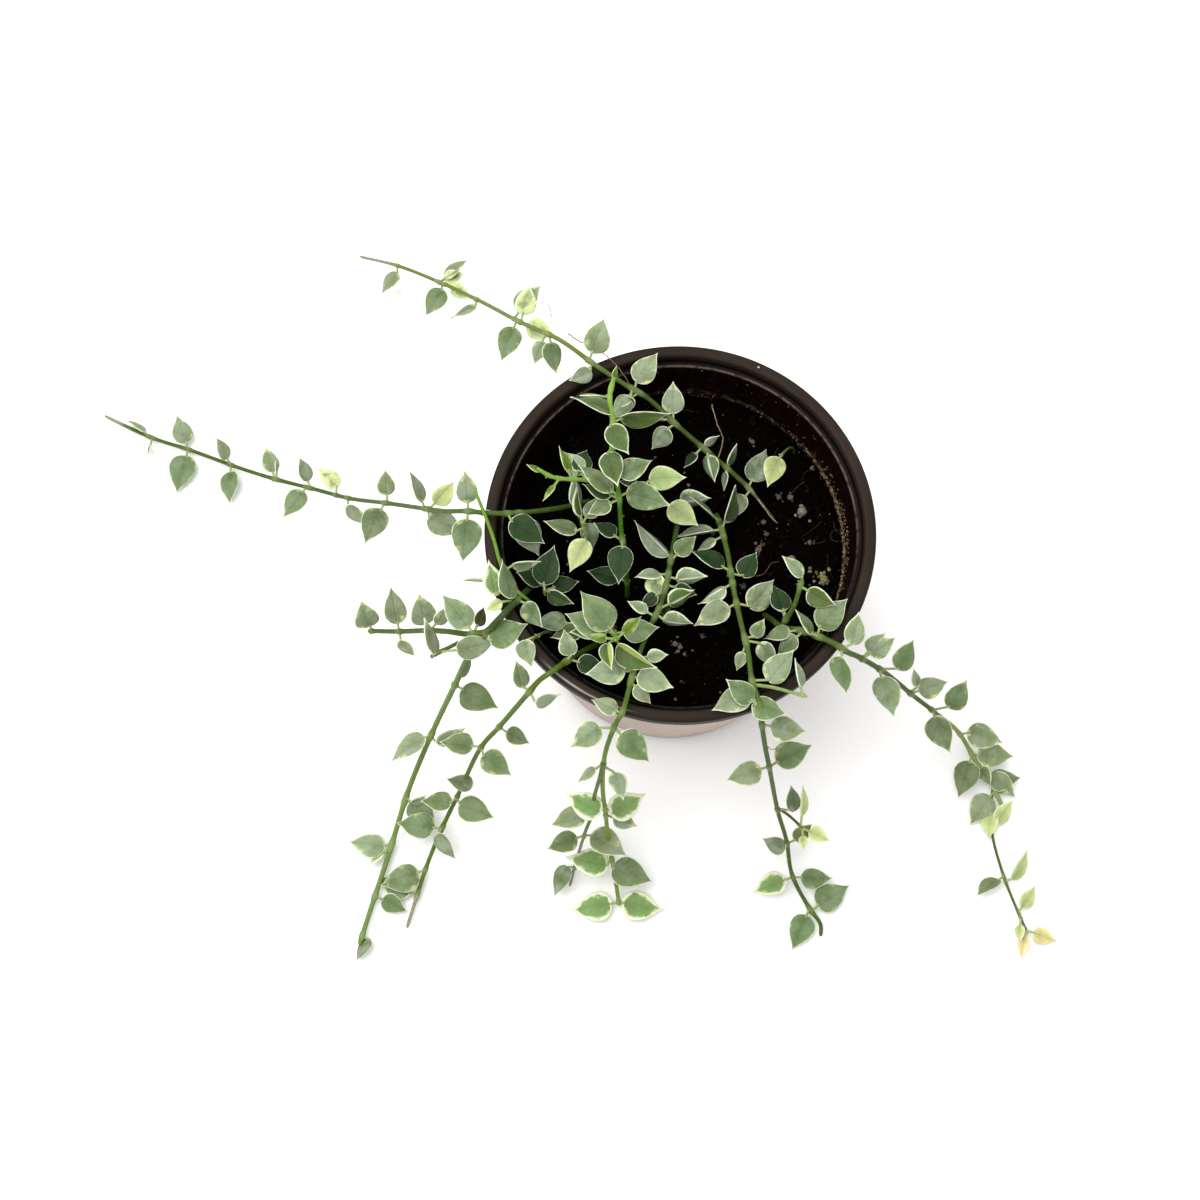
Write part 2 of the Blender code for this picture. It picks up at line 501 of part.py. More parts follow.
def add_object(name, points, faces, look=None):
    mesh = bpy.data.meshes.new(name)
    mesh.from_pydata([tuple(p * MM) for p in np.asarray(points)], [], faces)
    mesh.validate()
    obj = bpy.data.objects.new(name, mesh)
    bpy.context.scene.collection.objects.link(obj)
    if look:
        mesh.materials.append(look)
    return obj


def add_helper(name, solids):
    """One hidden object that holds several closed solids, for a Boolean."""
    points, faces = [], []
    for solid_points, solid_faces in solids:
        offset = len(points)
        points += list(solid_points)
        faces += [tuple(i + offset for i in face) for face in solid_faces]
    obj = add_object(name, points, faces)
    obj.hide_render = True
    obj.display_type = "WIRE"
    return obj


def combine(obj, helper, operation, solver="MANIFOLD"):
    step = obj.modifiers.new(operation.title(), "BOOLEAN")
    step.operation = operation
    step.solver = solver
    step.object = helper


def shade_smooth(obj, degrees):
    for polygon in obj.data.polygons:
        polygon.use_smooth = True
    bm = bmesh.new()
    bm.from_mesh(obj.data)
    for edge in bm.edges:
        edge.smooth = edge.calc_face_angle(0.0) < math.radians(degrees)
    bm.to_mesh(obj.data)
    bm.free()


def build_pot():
    look = material("plastic_brown", (0.045, 0.036, 0.03), 0.5)
    pot = add_object("pot", *turned(pot_profile(), POT_SIDES), look)
    shade_smooth(pot, 30)
    holes = []
    for k in range(DRAIN_HOLES):
        a = 2 * math.pi * k / DRAIN_HOLES
        points, faces = turned([(0, -2.0), (DRAIN_RADIUS, -2.0), (DRAIN_RADIUS, 5.0), (0, 5.0)], 16)
        holes.append((points + [DRAIN_RING * math.cos(a), DRAIN_RING * math.sin(a), 0], faces))
    combine(pot, add_helper("drain_cutter", holes), "DIFFERENCE", "EXACT")


def build_soil(curves):
    top = inner_radius(SOIL_TOP) - SOIL_GAP
    profile = [
        (0.0, FLOOR + SOIL_GAP), (INNER_BASE_RADIUS - 1.0, FLOOR + SOIL_GAP),
        (inner_radius(FLOOR + 3.0) - SOIL_GAP, FLOOR + 3.0), (top, SOIL_TOP - 0.8),
        (top - 2.0, SOIL_TOP + 0.2), (top * 0.75, SOIL_TOP - 0.4), (top * 0.45, SOIL_TOP + 0.3),
        (top * 0.2, SOIL_TOP), (0.0, SOIL_TOP + 0.2),
    ]
    soil = add_object("soil", *turned(profile, 48), material("soil_dark", (0.02, 0.016, 0.012), 0.95))
    shade_smooth(soil, 40)
    pockets = []
    for name, runs in VINES.items():
        for curve, run in zip(curves[name], runs):
            if run["route"][0][2] > SOIL_TOP - 10:
                continue
            below = curve[0][0] - (curve[0][1] - curve[0][0]) * (GAP / curve[1][1])
            inside = [i for i in range(len(curve[0])) if curve[0][i][2] < SOIL_TOP + 2.0]
            line = np.vstack([below, curve[0][:inside[-1] + 2]])
            reach = np.r_[0, np.cumsum(np.linalg.norm(np.diff(line, axis=0), axis=1))]
            pockets.append(stem_solid((line, reach), run["thick"] + GAP + 0.15, sides=8))
    for number, solid in enumerate(pockets):
        combine(soil, add_helper(f"stem_pocket_{number}", [solid]), "DIFFERENCE")


def build_vine(name, runs, curves, poses):
    look = material(name + "_green", (0.17, 0.27, 0.12), 0.42)
    tubes = [stem_solid(curve, run["thick"]) for curve, run in zip(curves, runs)]
    vine = add_object(name, *tubes[0], look)
    shade_smooth(vine, 50)
    leaves = [solid for placed in poses for pose, _, _ in placed for solid in leaf_solids(*pose)]
    for number, solid in enumerate(tubes[1:] + leaves):
        combine(vine, add_helper(f"{name}_joined_{number}", [solid]), "UNION")


def main():
    for obj in list(bpy.data.objects):
        bpy.data.objects.remove(obj)
    wall = tree_of(*turned(pot_profile(), POT_SIDES))
    curves, poses, stuck = settle(VINES, wall)
    for name, index, row in stuck:
        print("no clear place for a leaf on", name, index, row)
    build_pot()
    build_soil(curves)
    for name, runs in VINES.items():
        build_vine(name, runs, curves[name], poses[name])


main()
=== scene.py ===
"""Potted dischidia: a round nursery pot, its soil, and trailing vines with paired fleshy leaves.

Laid out as an add-on and run as a script. Each piece has an operator, and the sidebar lists them.
Settings are in metres, and the plant's own routes and sizes are in millimetres.
"""

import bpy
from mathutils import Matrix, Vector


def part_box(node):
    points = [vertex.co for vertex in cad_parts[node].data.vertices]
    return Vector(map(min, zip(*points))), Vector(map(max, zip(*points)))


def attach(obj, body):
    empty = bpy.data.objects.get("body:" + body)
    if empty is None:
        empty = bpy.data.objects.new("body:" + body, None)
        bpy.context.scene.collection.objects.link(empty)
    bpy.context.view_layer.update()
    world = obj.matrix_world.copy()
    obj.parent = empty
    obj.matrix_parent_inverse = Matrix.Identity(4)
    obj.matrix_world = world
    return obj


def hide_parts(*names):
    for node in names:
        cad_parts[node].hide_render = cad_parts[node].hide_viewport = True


bl_info = {
    "name": "Potted Dischidia",
    "version": (1, 0, 0),
    "blender": (4, 5, 0),
    "location": "View3D > Sidebar > Dischidia",
    "description": "Builds a trailing dischidia in a round nursery pot, with its soil and stage",
    "category": "Add Mesh",
}

import math
from functools import lru_cache

import bpy
import numpy as np
from bpy.props import FloatProperty, FloatVectorProperty, IntProperty, PointerProperty
from mathutils import Vector, noise
from mathutils.bvhtree import BVHTree

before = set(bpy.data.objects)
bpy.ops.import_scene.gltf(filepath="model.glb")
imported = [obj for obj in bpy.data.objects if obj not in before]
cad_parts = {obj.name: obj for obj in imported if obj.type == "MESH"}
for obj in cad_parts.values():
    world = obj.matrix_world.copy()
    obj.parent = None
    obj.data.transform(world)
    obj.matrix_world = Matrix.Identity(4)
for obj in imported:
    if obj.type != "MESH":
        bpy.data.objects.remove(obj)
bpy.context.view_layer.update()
POT_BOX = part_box("pot")

MM = 0.001

# Pot: a turned wall with a flat lip, a step inside the lip and a ring of drain holes.
POT_HEIGHT = 110.0
RIM_RADIUS = 63.5
LIP_WIDTH = 3.9
LIP_DROP = 4.2
LEDGE_RADIUS = 57.6
BASE_RADIUS = 49.0
INNER_BASE_RADIUS = 46.8
FLOOR = 2.4
POT_SIDES = 64
DRAIN_HOLES = 6
DRAIN_RING = 34.0
DRAIN_RADIUS = 4.0
LIP_FOOT = 103.4  # the outer skin's pale colour ends here, under the lip
FLAT_RADIUS = 20.0  # the base keeps its size inside this radius
PROFILE_STEP = 6.0
CRISP_ANGLE = 32.0  # degrees

# Soil: fills the pot to a gently uneven top, clear of the wall.
SOIL_TOP = 85.0
SOIL_GAP = 0.4

# Plant
GAP = 0.35  # clearance kept between separate pieces
STEM_BOW = 0.3
STEM_LONGEST = 14.0
STEM_SIDES = 6
PETIOLE = 2.2
PETIOLE_RADIUS = 0.55
LEAF_SCALE = 0.96
LEAF_RATIO = 0.72  # blade width over length
LEAF_HALF_THICK = 0.62
LOWEST_LEAF = 0.3  # height above the surface that the pot stands on
CLEAR_OF_SOIL = 2.2
TAPER = 0.22  # share of its radius that a stem loses by its tip

# Each run of stem: thick is its radius, route its points (first ones buried), and each leaf is
# (distance along the run, heading, rise, roll, blade length, tint[, petiole turn, length, rise]).
# Headings are in degrees, 0 along +X and 90 along +Y.
VINES = {
    "vine_back_left": [
        dict(thick=1.0, route=[
            (36, 12, 66), (33, 10, 85), (28, 15, 90), (23, 20, 93), (14, 27, 97), (0, 37, 104),
            (-10, 45, 109), (-18, 49, 112), (-28, 55, 114.5), (-36, 63, 110), (-41, 69, 103),
            (-49, 77, 92), (-56, 86, 78), (-70, 104, 52), (-86, 121, 29), (-106, 137, 10),
            (-121, 144, 2.5)], leaves=[
            (35, 66, 10, 0, 12, "grey"), (34, -128, -20, 20, 10, "grey"),
            (45, 66, 18, 70, 8, "grey", 0, 0.3), (45, -101, -20, 60, 6.5, "grey", 0, 0.6),
            (54, -78, -15, 40, 9.5, "green", 0, 1), (56, 34, 10, 62, 6, "grey", 0, 0.3),
            (56, -132, -10, 35, 6.5, "deep"), (69, 92, 15, 0, 11, "sage"),
            (68, -133, -30, -10, 9.5, "grey", -15), (70, 178, 0, 75, 10, "green"),
            (86, 50, 15, 0, 12, "sage", 25), (86, -128, -20, 5, 9.5, "grey"),
            (84, -150, -10, 30, 7, "grey"), (87, -95, -35, 20, 5, "brown"),
            (104, 68, 20, 5, 12.5, "sage"), (103, -155, -5, -25, 8, "grey", 60),
            (131, -112, -10, 15, 9, "sage"), (129, -78, -15, -25, 11.5, "green"),
            (159, 48, 25, -10, 13, "sage"), (152, 75, 20, 10, 11, "cream"),
            (153, -25, 0, 25, 11, "cream"), (156, -112, -8, 5, 13, "green"),
            (196, -160, -10, 45, 10.5, "sage", 60), (228, 32, 20, -35, 12, "sage"),
            (229, 5, 25, 10, 9, "cream"), (224, -30, 0, 20, 9, "cream"),
            (227, -123, -8, 5, 12.5, "green", 45), (257, -128, -5, 25, 11, "sage", 40)]),
    ],
    "vine_left_long": [
        dict(thick=0.9, route=[
            (-26, 24, 66), (-32, 15, 90), (-40, 10, 100), (-54, 5, 111), (-62, 4, 114.5),
            (-69, 6, 110), (-77, 9, 100), (-84, 14, 86), (-101, 25, 57), (-118, 34, 34),
            (-134, 43, 17), (-151, 50, 8), (-166, 56, 4), (-184, 63, 3), (-199, 68, 3),
            (-212, 74, 3), (-218, 77, 3)], leaves=[
            (61, -32, -10, 0, 13.5, "deep", -30), (57, -63, -24, 0, 13.5, "grey"),
            (76, 92, 20, 15, 11, "sage"), (76, -76, -20, 0, 14.5, "green"),
            (75, -5, 0, 70, 5, "cream"), (109, 112, 25, 60, 12.5, "sage"),
            (105, 45, 20, 30, 10.5, "yellow"), (106, -18, -10, 20, 14, "sage", -65),
            (142, 92, 20, 20, 9.5, "sage"), (144, -115, -8, 0, 14, "green"),
            (181, 135, 15, 10, 11, "cream", -50), (172, -40, -15, 60, 12, "sage", -50),
            (198, 108, 25, 50, 10, "grey"), (200, -125, -5, 5, 13, "green", 0, 1.5),
            (216, 105, 20, 15, 10.5, "sage"), (215, 88, 40, 80, 5, "grey"),
            (236, 118, 40, 40, 10, "sage"), (236, -88, 0, 25, 13, "green"),
            (254, 108, 20, 15, 11.5, "sage"), (254, -103, 0, 0, 15.5, "green"),
            (270, 142, 5, 60, 9, "sage"), (269, -100, 0, 55, 4.5, "sage")]),
    ],
    "vine_front_left": [
        dict(thick=1.05, route=[
            (-45, -3, 66), (-49, -15.5, 94), (-51.5, -22, 108), (-54, -26, 112.5),
            (-57, -30, 114.5), (-62, -34, 109), (-65, -36, 101), (-69, -38, 91), (-76, -43, 64),
            (-86, -54, 34), (-96, -71, 12), (-100, -82, 6), (-103, -92, 4), (-108, -108, 3),
            (-113, -125, 3)], leaves=[
            (50, -60, 0, 30, 10, "green", 40), (50, -150, 0, 0, 6, "yellow", -15, 4.8, 30),
            (68, 42, 5, 5, 13.5, "green", -80), (113, 58, 10, 60, 8.5, "sage"),
            (113, -30, -5, 0, 14.5, "green"), (148, -148, -5, 30, 15.5, "pale"),
            (150, 22, 5, 60, 12, "pale", -60), (181, 20, 20, 60, 6.5, "pale", -60),
            (183, -52, 0, 5, 13.5, "green", 60), (199, 172, 3, 5, 14, "pale", 30),
            (201, -145, -3, 50, 7, "yellow"), (219, -25, 0, 15, 10.5, "green"),
            (234, -128, 0, 40, 10, "grey", 100)]),
        dict(thick=0.9, route=[
            (-62, -34, 109), (-68, -34, 106), (-75, -32, 101), (-82, -30, 94), (-94, -27, 80),
            (-105, -24, 68)], leaves=[
            (5, 128, 15, 15, 14, "sage"), (5, 70, 0, 40, 7, "brown"),
            (27, 100, 50, 10, 12.5, "sage"), (25, 50, 15, 40, 8, "sage"),
            (43, 103, 15, 30, 13, "sage"), (43, -50, -30, 50, 8, "sage", -30),
            (59, 110, 62, 0, 12.5, "sage")]),
        dict(thick=0.7, route=[
            (-65, -36, 101), (-70, -35.7, 103), (-75, -38, 103.5), (-80.5, -40.5, 102)], leaves=[
            (14, 13, 0, 45, 13.5, "sage", -12, 6, 23),
            (19, 102, 5, 60, 12.5, "sage", -95, 2.5, 88)]),
    ],
    "vine_front_left_inner": [
        dict(thick=0.95, route=[
            (-23, -26, 66), (-29, -36, 96), (-37, -44, 110), (-41, -48, 114.5), (-45, -50, 111),
            (-49, -53, 104), (-59, -59, 80), (-67, -63, 58), (-77, -75, 26), (-83, -84, 13),
            (-89, -97, 6), (-93, -109, 3), (-96, -119, 2.5)], leaves=[
            (50, 108, 20, 10, 9, "sage", -60), (48, -15, -10, 0, 9.5, "deep"),
            (70, 102, 15, 30, 9.5, "green", 60), (71, 20, -10, 62, 9, "pale", -80, 3.5),
            (100, -18, -25, 0, 9.5, "green", -20), (121, -35, -5, 5, 12.5, "green", -40),
            (121, 175, -5, 10, 12, "green"), (147, 172, 10, -30, 10, "grey", 160),
            (158, -20, 0, 0, 14, "green", -50), (158, 172, -5, 10, 11.5, "green", 50),
            (176, 172, -3, 10, 14.5, "green"), (175, -60, -10, 45, 11.5, "grey", -60),
            (193, -160, 0, 0, 15, "green"), (203, 165, -3, 0, 14, "green")]),
    ],
    "vine_front": [
        dict(thick=1.0, route=[
            (2, 20, 66), (1, 12, 92), (-1, 2, 99), (-3, -9, 102), (-6, -23, 105), (-10, -32, 107),
            (-15, -46, 111), (-17, -54, 113), (-19, -61, 114.5), (-21, -64, 111), (-24, -70, 98),
            (-25, -74, 84), (-25, -79, 64), (-24, -84, 45), (-23, -90, 24), (-21, -99, 9),
            (-19, -111, 3)], leaves=[
            (24, -2, 0, 55, 11, "pale", 92, 1.2), (30, -38, 0, 5, 12, "yellow", -152, 6, 61),
            (50, 134, 3, 52, 16.5, "grey", 0, 1), (51, 45, 10, 0, 9, "green"),
            (56, -172, 20, 40, 9, "pale"), (56, -64, -5, 20, 10, "cream", -110, 4),
            (60, -95, -20, 0, 8, "deep"), (57, 8, 0, 45, 10.5, "pale", -20),
            (69, 27, 0, 45, 10, "edge", 0, 3), (60, -15, -12, 0, 8, "deep"),
            (62, -150, -15, 0, 7, "deep"), (72, 150, 5, 30, 7.5, "pale"),
            (71, -8, 0, 62, 10, "pale", -30), (88, 5, -5, 10, 7, "pale"),
            (93, 180, -5, 0, 13, "pale"), (95, -12, -10, -10, 12.5, "pale", 0, 1),
            (97, -45, -20, 0, 8, "sage", 0, 1), (108, 158, 10, 20, 9, "sage", 0, 1),
            (115, -146, -15, 5, 12, "sage", -34, 3.5), (115, -42, -15, 5, 13.5, "green"),
            (138, -146, -15, 40, 8, "pale"), (140, -75, -20, 20, 10, "pale", 45, 3.5),
            (174, 152, 5, 0, 14, "varieg", 85, 4.5, 55), (176, 32, 5, 10, 14, "varieg", -70),
            (182, -20, -5, 0, 9, "sage"), (216, 165, 3, 0, 16, "varieg", 70),
            (217, -20, 0, 0, 15.5, "green", -60), (235, -171, 0, 0, 15.5, "varieg"),
            (235, -9, 0, 0, 15.5, "varieg", 0, 0.8)]),
        dict(thick=0.8, route=[
            (-25, -73, 90), (-26, -76, 80), (-28, -80, 60), (-29, -84, 42), (-31, -87, 28),
            (-35, -97, 8), (-37, -104, 3)], leaves=[
            (48, -165, 5, 20, 12.5, "sage"), (68, -160, -3, 5, 12, "green"),
            (68, -30, 0, 0, 15, "sage", 30), (88, -112, -5, 45, 13, "grey", -73)]),
    ],
    "vine_front_right": [
        dict(thick=1.05, route=[
            (13, 21, 66), (14, 7, 92), (16, -5, 98), (17, -16, 103), (19, -30, 108), (21, -41, 111),
            (22, -51, 113), (24, -58, 114.5), (25, -63, 109), (27, -68, 96), (30, -73, 78),
            (36, -82, 40), (41, -90, 18), (44, -101, 6), (50, -112, 3), (54, -118, 3),
            (54, -122, 2.5)], leaves=[
            (28, 134, 25, 68, 11.5, "grey"), (33, -172, 5, 55, 13, "pale"),
            (33, 68, 15, 65, 13, "edge"), (36, -154, -10, 35, 7, "sage"),
            (51, 151, 5, 35, 12, "deep"), (52, 60, 0, 0, 10, "deep", -70, 3),
            (56, -150, -10, 45, 10.5, "pale"), (64, 47, 5, 25, 12.5, "sage", -60, 3.5),
            (64, -154, -5, 10, 13, "sage"), (77, 65, 10, 0, 7, "green", -60),
            (78, -60, -10, 40, 9.5, "sage", 50, 4), (79, -110, -20, 20, 6.5, "sage"),
            (93, -157, -5, 20, 13.5, "sage", 40), (92, 48, 10, 5, 13, "sage", -48, 4.5),
            (101, 145, 10, 0, 11, "green"), (101, -18, 0, 0, 11.5, "green", 180, 1),
            (109, -12, -5, 0, 12, "sage"), (139, -163, -3, 5, 12.5, "sage"),
            (139, 28, 5, 5, 13.5, "green"), (178, 97, 20, 35, 9.5, "grey", -105, 5),
            (205, 45, 10, 10, 9, "olive", -20), (205, 152, -10, -25, 9.5, "grey", 90, 1),
            (221, -160, 0, 25, 13.5, "varieg"), (221, -3, 0, 5, 12, "green"),
            (235, 32, 0, 0, 14.5, "green"), (234, -115, 0, 0, 14, "green")]),
        dict(thick=0.7, route=[
            (22, -52, 113), (28, -53, 114), (39, -56, 114)], leaves=[
            (16, 100, 15, 65, 9.5, "pale")]),
        dict(thick=0.6, route=[
            (35, -81, 43), (39, -83, 41), (44, -87, 38), (47, -90, 36)], leaves=[
            (12, 85, 20, 60, 11, "yellow", 0, 3.5), (13, -25, 5, 10, 8, "yellow"),
            (13, -90, 0, 20, 5, "yellow")]),
    ],
    "vine_right": [
        dict(thick=1.05, route=[
            (28, -17, 66), (30, -26, 94), (33, -31, 103), (39, -34, 110), (43, -36, 112),
            (48, -39, 114.5), (52, -41, 112), (57, -41, 104), (68, -42, 85), (82, -44, 56),
            (94, -46, 33), (105, -50, 16), (112, -58, 7), (119, -68, 3.5), (123, -77, 3)], leaves=[
            (50, -140, -25, 15, 9, "green"), (48, -170, -10, 30, 9, "green"),
            (56, 122, 15, 50, 9.5, "green", 40), (55, 45, 15, 0, 13, "green", 30),
            (65, 72, 10, 25, 11, "sage", -40), (64, -84, -35, 58, 13.5, "green"),
            (79, 30, 10, 0, 10, "sage"), (79, 48, 12, 20, 8.5, "sage"),
            (94, 62, 10, 30, 12, "green", -62, 5), (93, -76, -20, 35, 14.5, "sage"),
            (127, 100, 10, 30, 7, "sage", -60), (128, 18, 15, 0, 11, "sage"),
            (152, 55, 10, 15, 12.5, "green", -45, 5), (151, -68, -8, 20, 14.5, "green"),
            (178, -14, 0, 0, 14, "sage", 25), (188, 2, 0, 5, 14, "sage", -30),
            (189, -108, -3, 0, 14.5, "green"), (192, -60, -5, 30, 8, "green"),
            (199, -50, 0, 30, 12, "sage", 60), (198, 5, 0, 0, 12.5, "green", -60),
            (205, -125, 0, 0, 13.5, "sage")]),
        dict(thick=0.6, route=[
            (119, -68, 3.5), (118, -75, 3), (118, -85, 2.5), (121, -99, 2.5), (125, -111, 2.5),
            (129, -121, 2.5)], leaves=[
            (7, -98, 0, 20, 10, "yellow"), (15, 50, 5, 40, 11, "yellow"),
            (35, 60, 5, 55, 13, "yellow", -40), (33, -144, -2, 50, 11.5, "green"),
            (47, 55, 5, 30, 10, "yellow"), (49, -96, 0, 50, 7, "yellow"),
            (57, -20, 0, 10, 9.5, "tan"), (57, -106, 0, 50, 8, "tan")]),
        dict(thick=1.0, route=[
            (33, -30.5, 102), (34, -29, 107), (36, -26, 112), (38, -19, 118)], leaves=[
            (20, 142, 22, 25, 9.5, "sage", -60, 1.5), (18.5, -33, 5, 45, 10.5, "edge"),
            (5, 127, -5, 10, 10, "deep"), (4, 105, -15, 20, 7.5, "grey")]),
    ],
    "shoot_upright": [
        dict(thick=1.1, route=[
            (-17, -16, 66), (-17, -15, 92), (-18, -7, 108), (-19, -3, 112), (-20, 7, 124),
            (-22, 18, 134), (-22, 27, 140), (-23, 33, 143), (-21, 41, 145)], leaves=[
            (49, -97, -5, 0, 12.5, "deep", 8, 2), (30, 163, 0, 15, 11, "deep"),
            (48, 145, 0, 20, 8.5, "deep"), (65, -18, 0, 40, 14.5, "green", 44),
            (65, 142, 10, 35, 14, "green"), (64, 155, 5, 20, 10, "deep"),
            (64, -155, -10, 0, 8.5, "green"), (82, -70, -10, 0, 11.5, "edge", -60, 1.5),
            (75, 28, 5, -10, 11.5, "green", -75), (91, -52, -15, -5, 11, "edge", -60, 1.5),
            (90, 157, 8, 50, 14.5, "edge", -60), (90, 1, 8, 85, 16, "edge", 25),
            (98, 178, 15, 60, 6.5, "bright"), (101, 75, 20, 20, 4, "bright")]),
        dict(thick=0.9, route=[
            (-20, 6, 123), (-25, 13, 119), (-30, 14, 118), (-41, 14, 121), (-46, 16, 124)], leaves=[
            (15, 130, 0, 0, 10, "sage"), (19, 70, -20, 0, 10, "deep"),
            (20, 112, 10, 45, 9, "bright"), (24, -125, 0, 45, 6.5, "bright"),
            (28, 155, 10, 20, 5, "bright")]),
    ],
    "shoot_left_rim": [
        dict(thick=0.9, route=[
            (-43, -25, 66), (-46, -27, 97), (-48.5, -24, 108), (-54.5, -19.5, 112.8),
            (-58, -12, 113.8), (-60, -5, 115), (-63, 3, 117), (-66, 10, 119)], leaves=[
            (52, 100, 5, 48, 13.4, "green", 171, 3.7, 22),
            (50, 100, 5, 20, 12, "varieg", 96, 5.8, 13), (54, 172, 0, 75, 7.5, "pale", 11, 7, 2),
            (57, 4, 0, 76, 9.5, "pale", 32, 2.8, -1)]),
    ],
    "shoot_centre_left": [
        dict(thick=0.8, route=[
            (-33, 14, 66), (-33, 11, 95), (-32, 4, 104), (-30, -3, 108)], leaves=[
            (35, 98, 30, 50, 11, "pale"), (42, 100, 20, 65, 10, "edge"),
            (42, 60, 10, 0, 8, "green"), (44, 162, 5, 35, 11.5, "green", 40),
            (46, -118, -5, 0, 12, "yellow", 33), (38, -72, -10, 5, 9, "grey", 20)]),
    ],
    "shoot_front_leaves": [
        dict(thick=1.0, route=[
            (-19, -23, 66), (-22, -30, 98), (-21, -37, 115), (-21, -40, 123)], leaves=[
            (48, 130, 10, 5, 15.5, "green"), (47, 155, 0, 10, 15, "green"),
            (43, 118, -10, 0, 11, "green"), (44, 175, -5, 25, 12, "edge"),
            (42, 180, -15, 10, 8, "deep"), (46, 12, -5, 0, 12, "green"),
            (41, 152, -10, 50, 11, "edge"), (57, 178, 15, 0, 7, "bright"),
            (57, 38, 15, 0, 8, "bright"), (55, -86, -5, 40, 9, "edge", -60),
            (55, -36, 0, 52, 14.5, "edge", -30, 1.5)]),
        dict(thick=0.6, route=[
            (-22, -30, 98), (-26, -29.8, 99.5), (-32, -29.5, 99.5), (-37, -29, 99)], leaves=[
            (14, 172, 0, 15, 10.5, "grey", -25, 1.5), (9, -178, -3, 20, 11, "edge", 40, 2)]),
    ],
    "shoot_left_low": [
        dict(thick=0.8, route=[
            (-40, -31, 66), (-42, -31.5, 97), (-44, -33.5, 106), (-47, -37, 113)], leaves=[
            (46, -79, 0, 5, 9.3, "sage", -73, 4, 25)]),
    ],
    "shoot_left_dark": [
        dict(thick=0.8, route=[
            (-41, -10, 66), (-43, -14, 92), (-44, -20, 104)], leaves=[
            (38, 74, 10, 0, 13.5, "deep", 25), (33, 176, 0, 20, 9, "deep"),
            (36, -28, -5, 55, 9.5, "edge", 0, 0.5), (36, 20, -10, 0, 9, "deep")]),
    ],
    "shoot_centre": [
        dict(thick=0.8, route=[
            (-10, 23, 66), (-11, 20, 95), (-11, 17, 104)], leaves=[
            (37, 2, 5, 10, 12.5, "yellow", 40, 1.5), (33, 175, 0, 10, 6, "deep")]),
    ],
    "sprout_wall": [
        dict(thick=0.6, route=[
            (39, 33, 66), (40, 34.5, 86), (37.5, 33, 94), (34, 29, 97)], leaves=[
            (34, -118, 0, 0, 11, "yellow", 0, 1)]),
    ],
}


def smooth(points):
    """A centripetal Catmull-Rom curve through the points, and how far along it each sample is."""
    p = np.array(points, float)
    p = np.vstack([2 * p[0] - p[1], p, 2 * p[-1] - p[-2]])
    out = [p[1]]
    for i in range(1, len(p) - 2):
        p0, p1, p2, p3 = p[i - 1:i + 3]
        t1 = np.linalg.norm(p1 - p0) ** 0.5
        t2 = t1 + np.linalg.norm(p2 - p1) ** 0.5
        t3 = t2 + np.linalg.norm(p3 - p2) ** 0.5
        for t in np.linspace(t1, t2, 13)[1:]:
            a1 = (t1 - t) / t1 * p0 + t / t1 * p1
            a2 = (t2 - t) / (t2 - t1) * p1 + (t - t1) / (t2 - t1) * p2
            a3 = (t3 - t) / (t3 - t2) * p2 + (t - t2) / (t3 - t2) * p3
            b1 = (t2 - t) / t2 * a1 + t / t2 * a2
            b2 = (t3 - t) / (t3 - t1) * a2 + (t - t1) / (t3 - t1) * a3
            out.append((t2 - t) / (t2 - t1) * b1 + (t - t1) / (t2 - t1) * b2)
    out = np.array(out)
    return out, np.r_[0, np.cumsum(np.linalg.norm(np.diff(out, axis=0), axis=1))]


def along(curve, distance):
    points, reach = curve
    return np.array([np.interp(distance, reach, points[:, k]) for k in range(3)])


def leaf_frame(heading, rise, roll):
    """Directions of a blade: along it, across it, and out of its upper face."""
    h, r, q = np.radians([heading, rise, roll])
    ahead = np.array([math.cos(h) * math.cos(r), math.sin(h) * math.cos(r), math.sin(r)])
    up = np.array([-math.cos(h) * math.sin(r), -math.sin(h) * math.sin(r), math.cos(r)])
    side = np.cross(up, ahead)
    return ahead, math.cos(q) * side + math.sin(q) * up, math.cos(q) * up - math.sin(q) * side


def leaf_pose(curve, thick, row, lift, swing):
    """Where a leaf leaves the stem, where its blade starts, the blade's directions and length."""
    distance, heading, rise, roll, length = row[:5]
    turn = row[6] if len(row) > 6 else 0.0
    reach = row[7] if len(row) > 7 else PETIOLE
    climb = row[8] if len(row) > 8 else max(rise + lift, 0)
    joint = along(curve, min(distance, curve[1][-1] - 1.0))
    stalk = leaf_frame(heading + turn + swing, climb, 0)[0]
    blade = leaf_frame(heading + swing, rise + lift, roll)
    return joint, joint + stalk * (thick + reach), blade, length * LEAF_SCALE


def diamond(centre, side, up, width, height):
    return [centre + push for push in (-side * width, -up * height, side * width, up * height)]


def leaf_solids(joint, base, blade, length, grow):
    """Closed faceted solids of a leaf: its stalk from inside the stem, and its pointed blade.

    They're one solid where the stalk runs on into the blade, and two where the blade turns back.
    """
    ahead, side, up = blade
    half = LEAF_RATIO * length / 2
    stalk = (base - joint) / np.linalg.norm(base - joint)
    thin = PETIOLE_RADIUS + grow
    straight = stalk @ ahead > 0.7
    start = [diamond(joint, side, up, thin, thin)] if straight else []
    first = base if straight else base - ahead * 0.7
    rings = start + [
        diamond(first, side, up, thin + 0.15, thin),
        diamond(base + ahead * 0.27 * length, side, up, half + grow, LEAF_HALF_THICK + grow),
    ]
    solids = [lofted(rings, base + ahead * (length + grow))]
    if not straight:
        across = np.cross(up, stalk)
        across /= np.linalg.norm(across)
        over = np.cross(stalk, across)
        rings = [diamond(joint, across, over, thin, thin), diamond(base, across, over, thin, thin)]
        solids.append(lofted(rings, base + stalk * 0.5))
    return solids


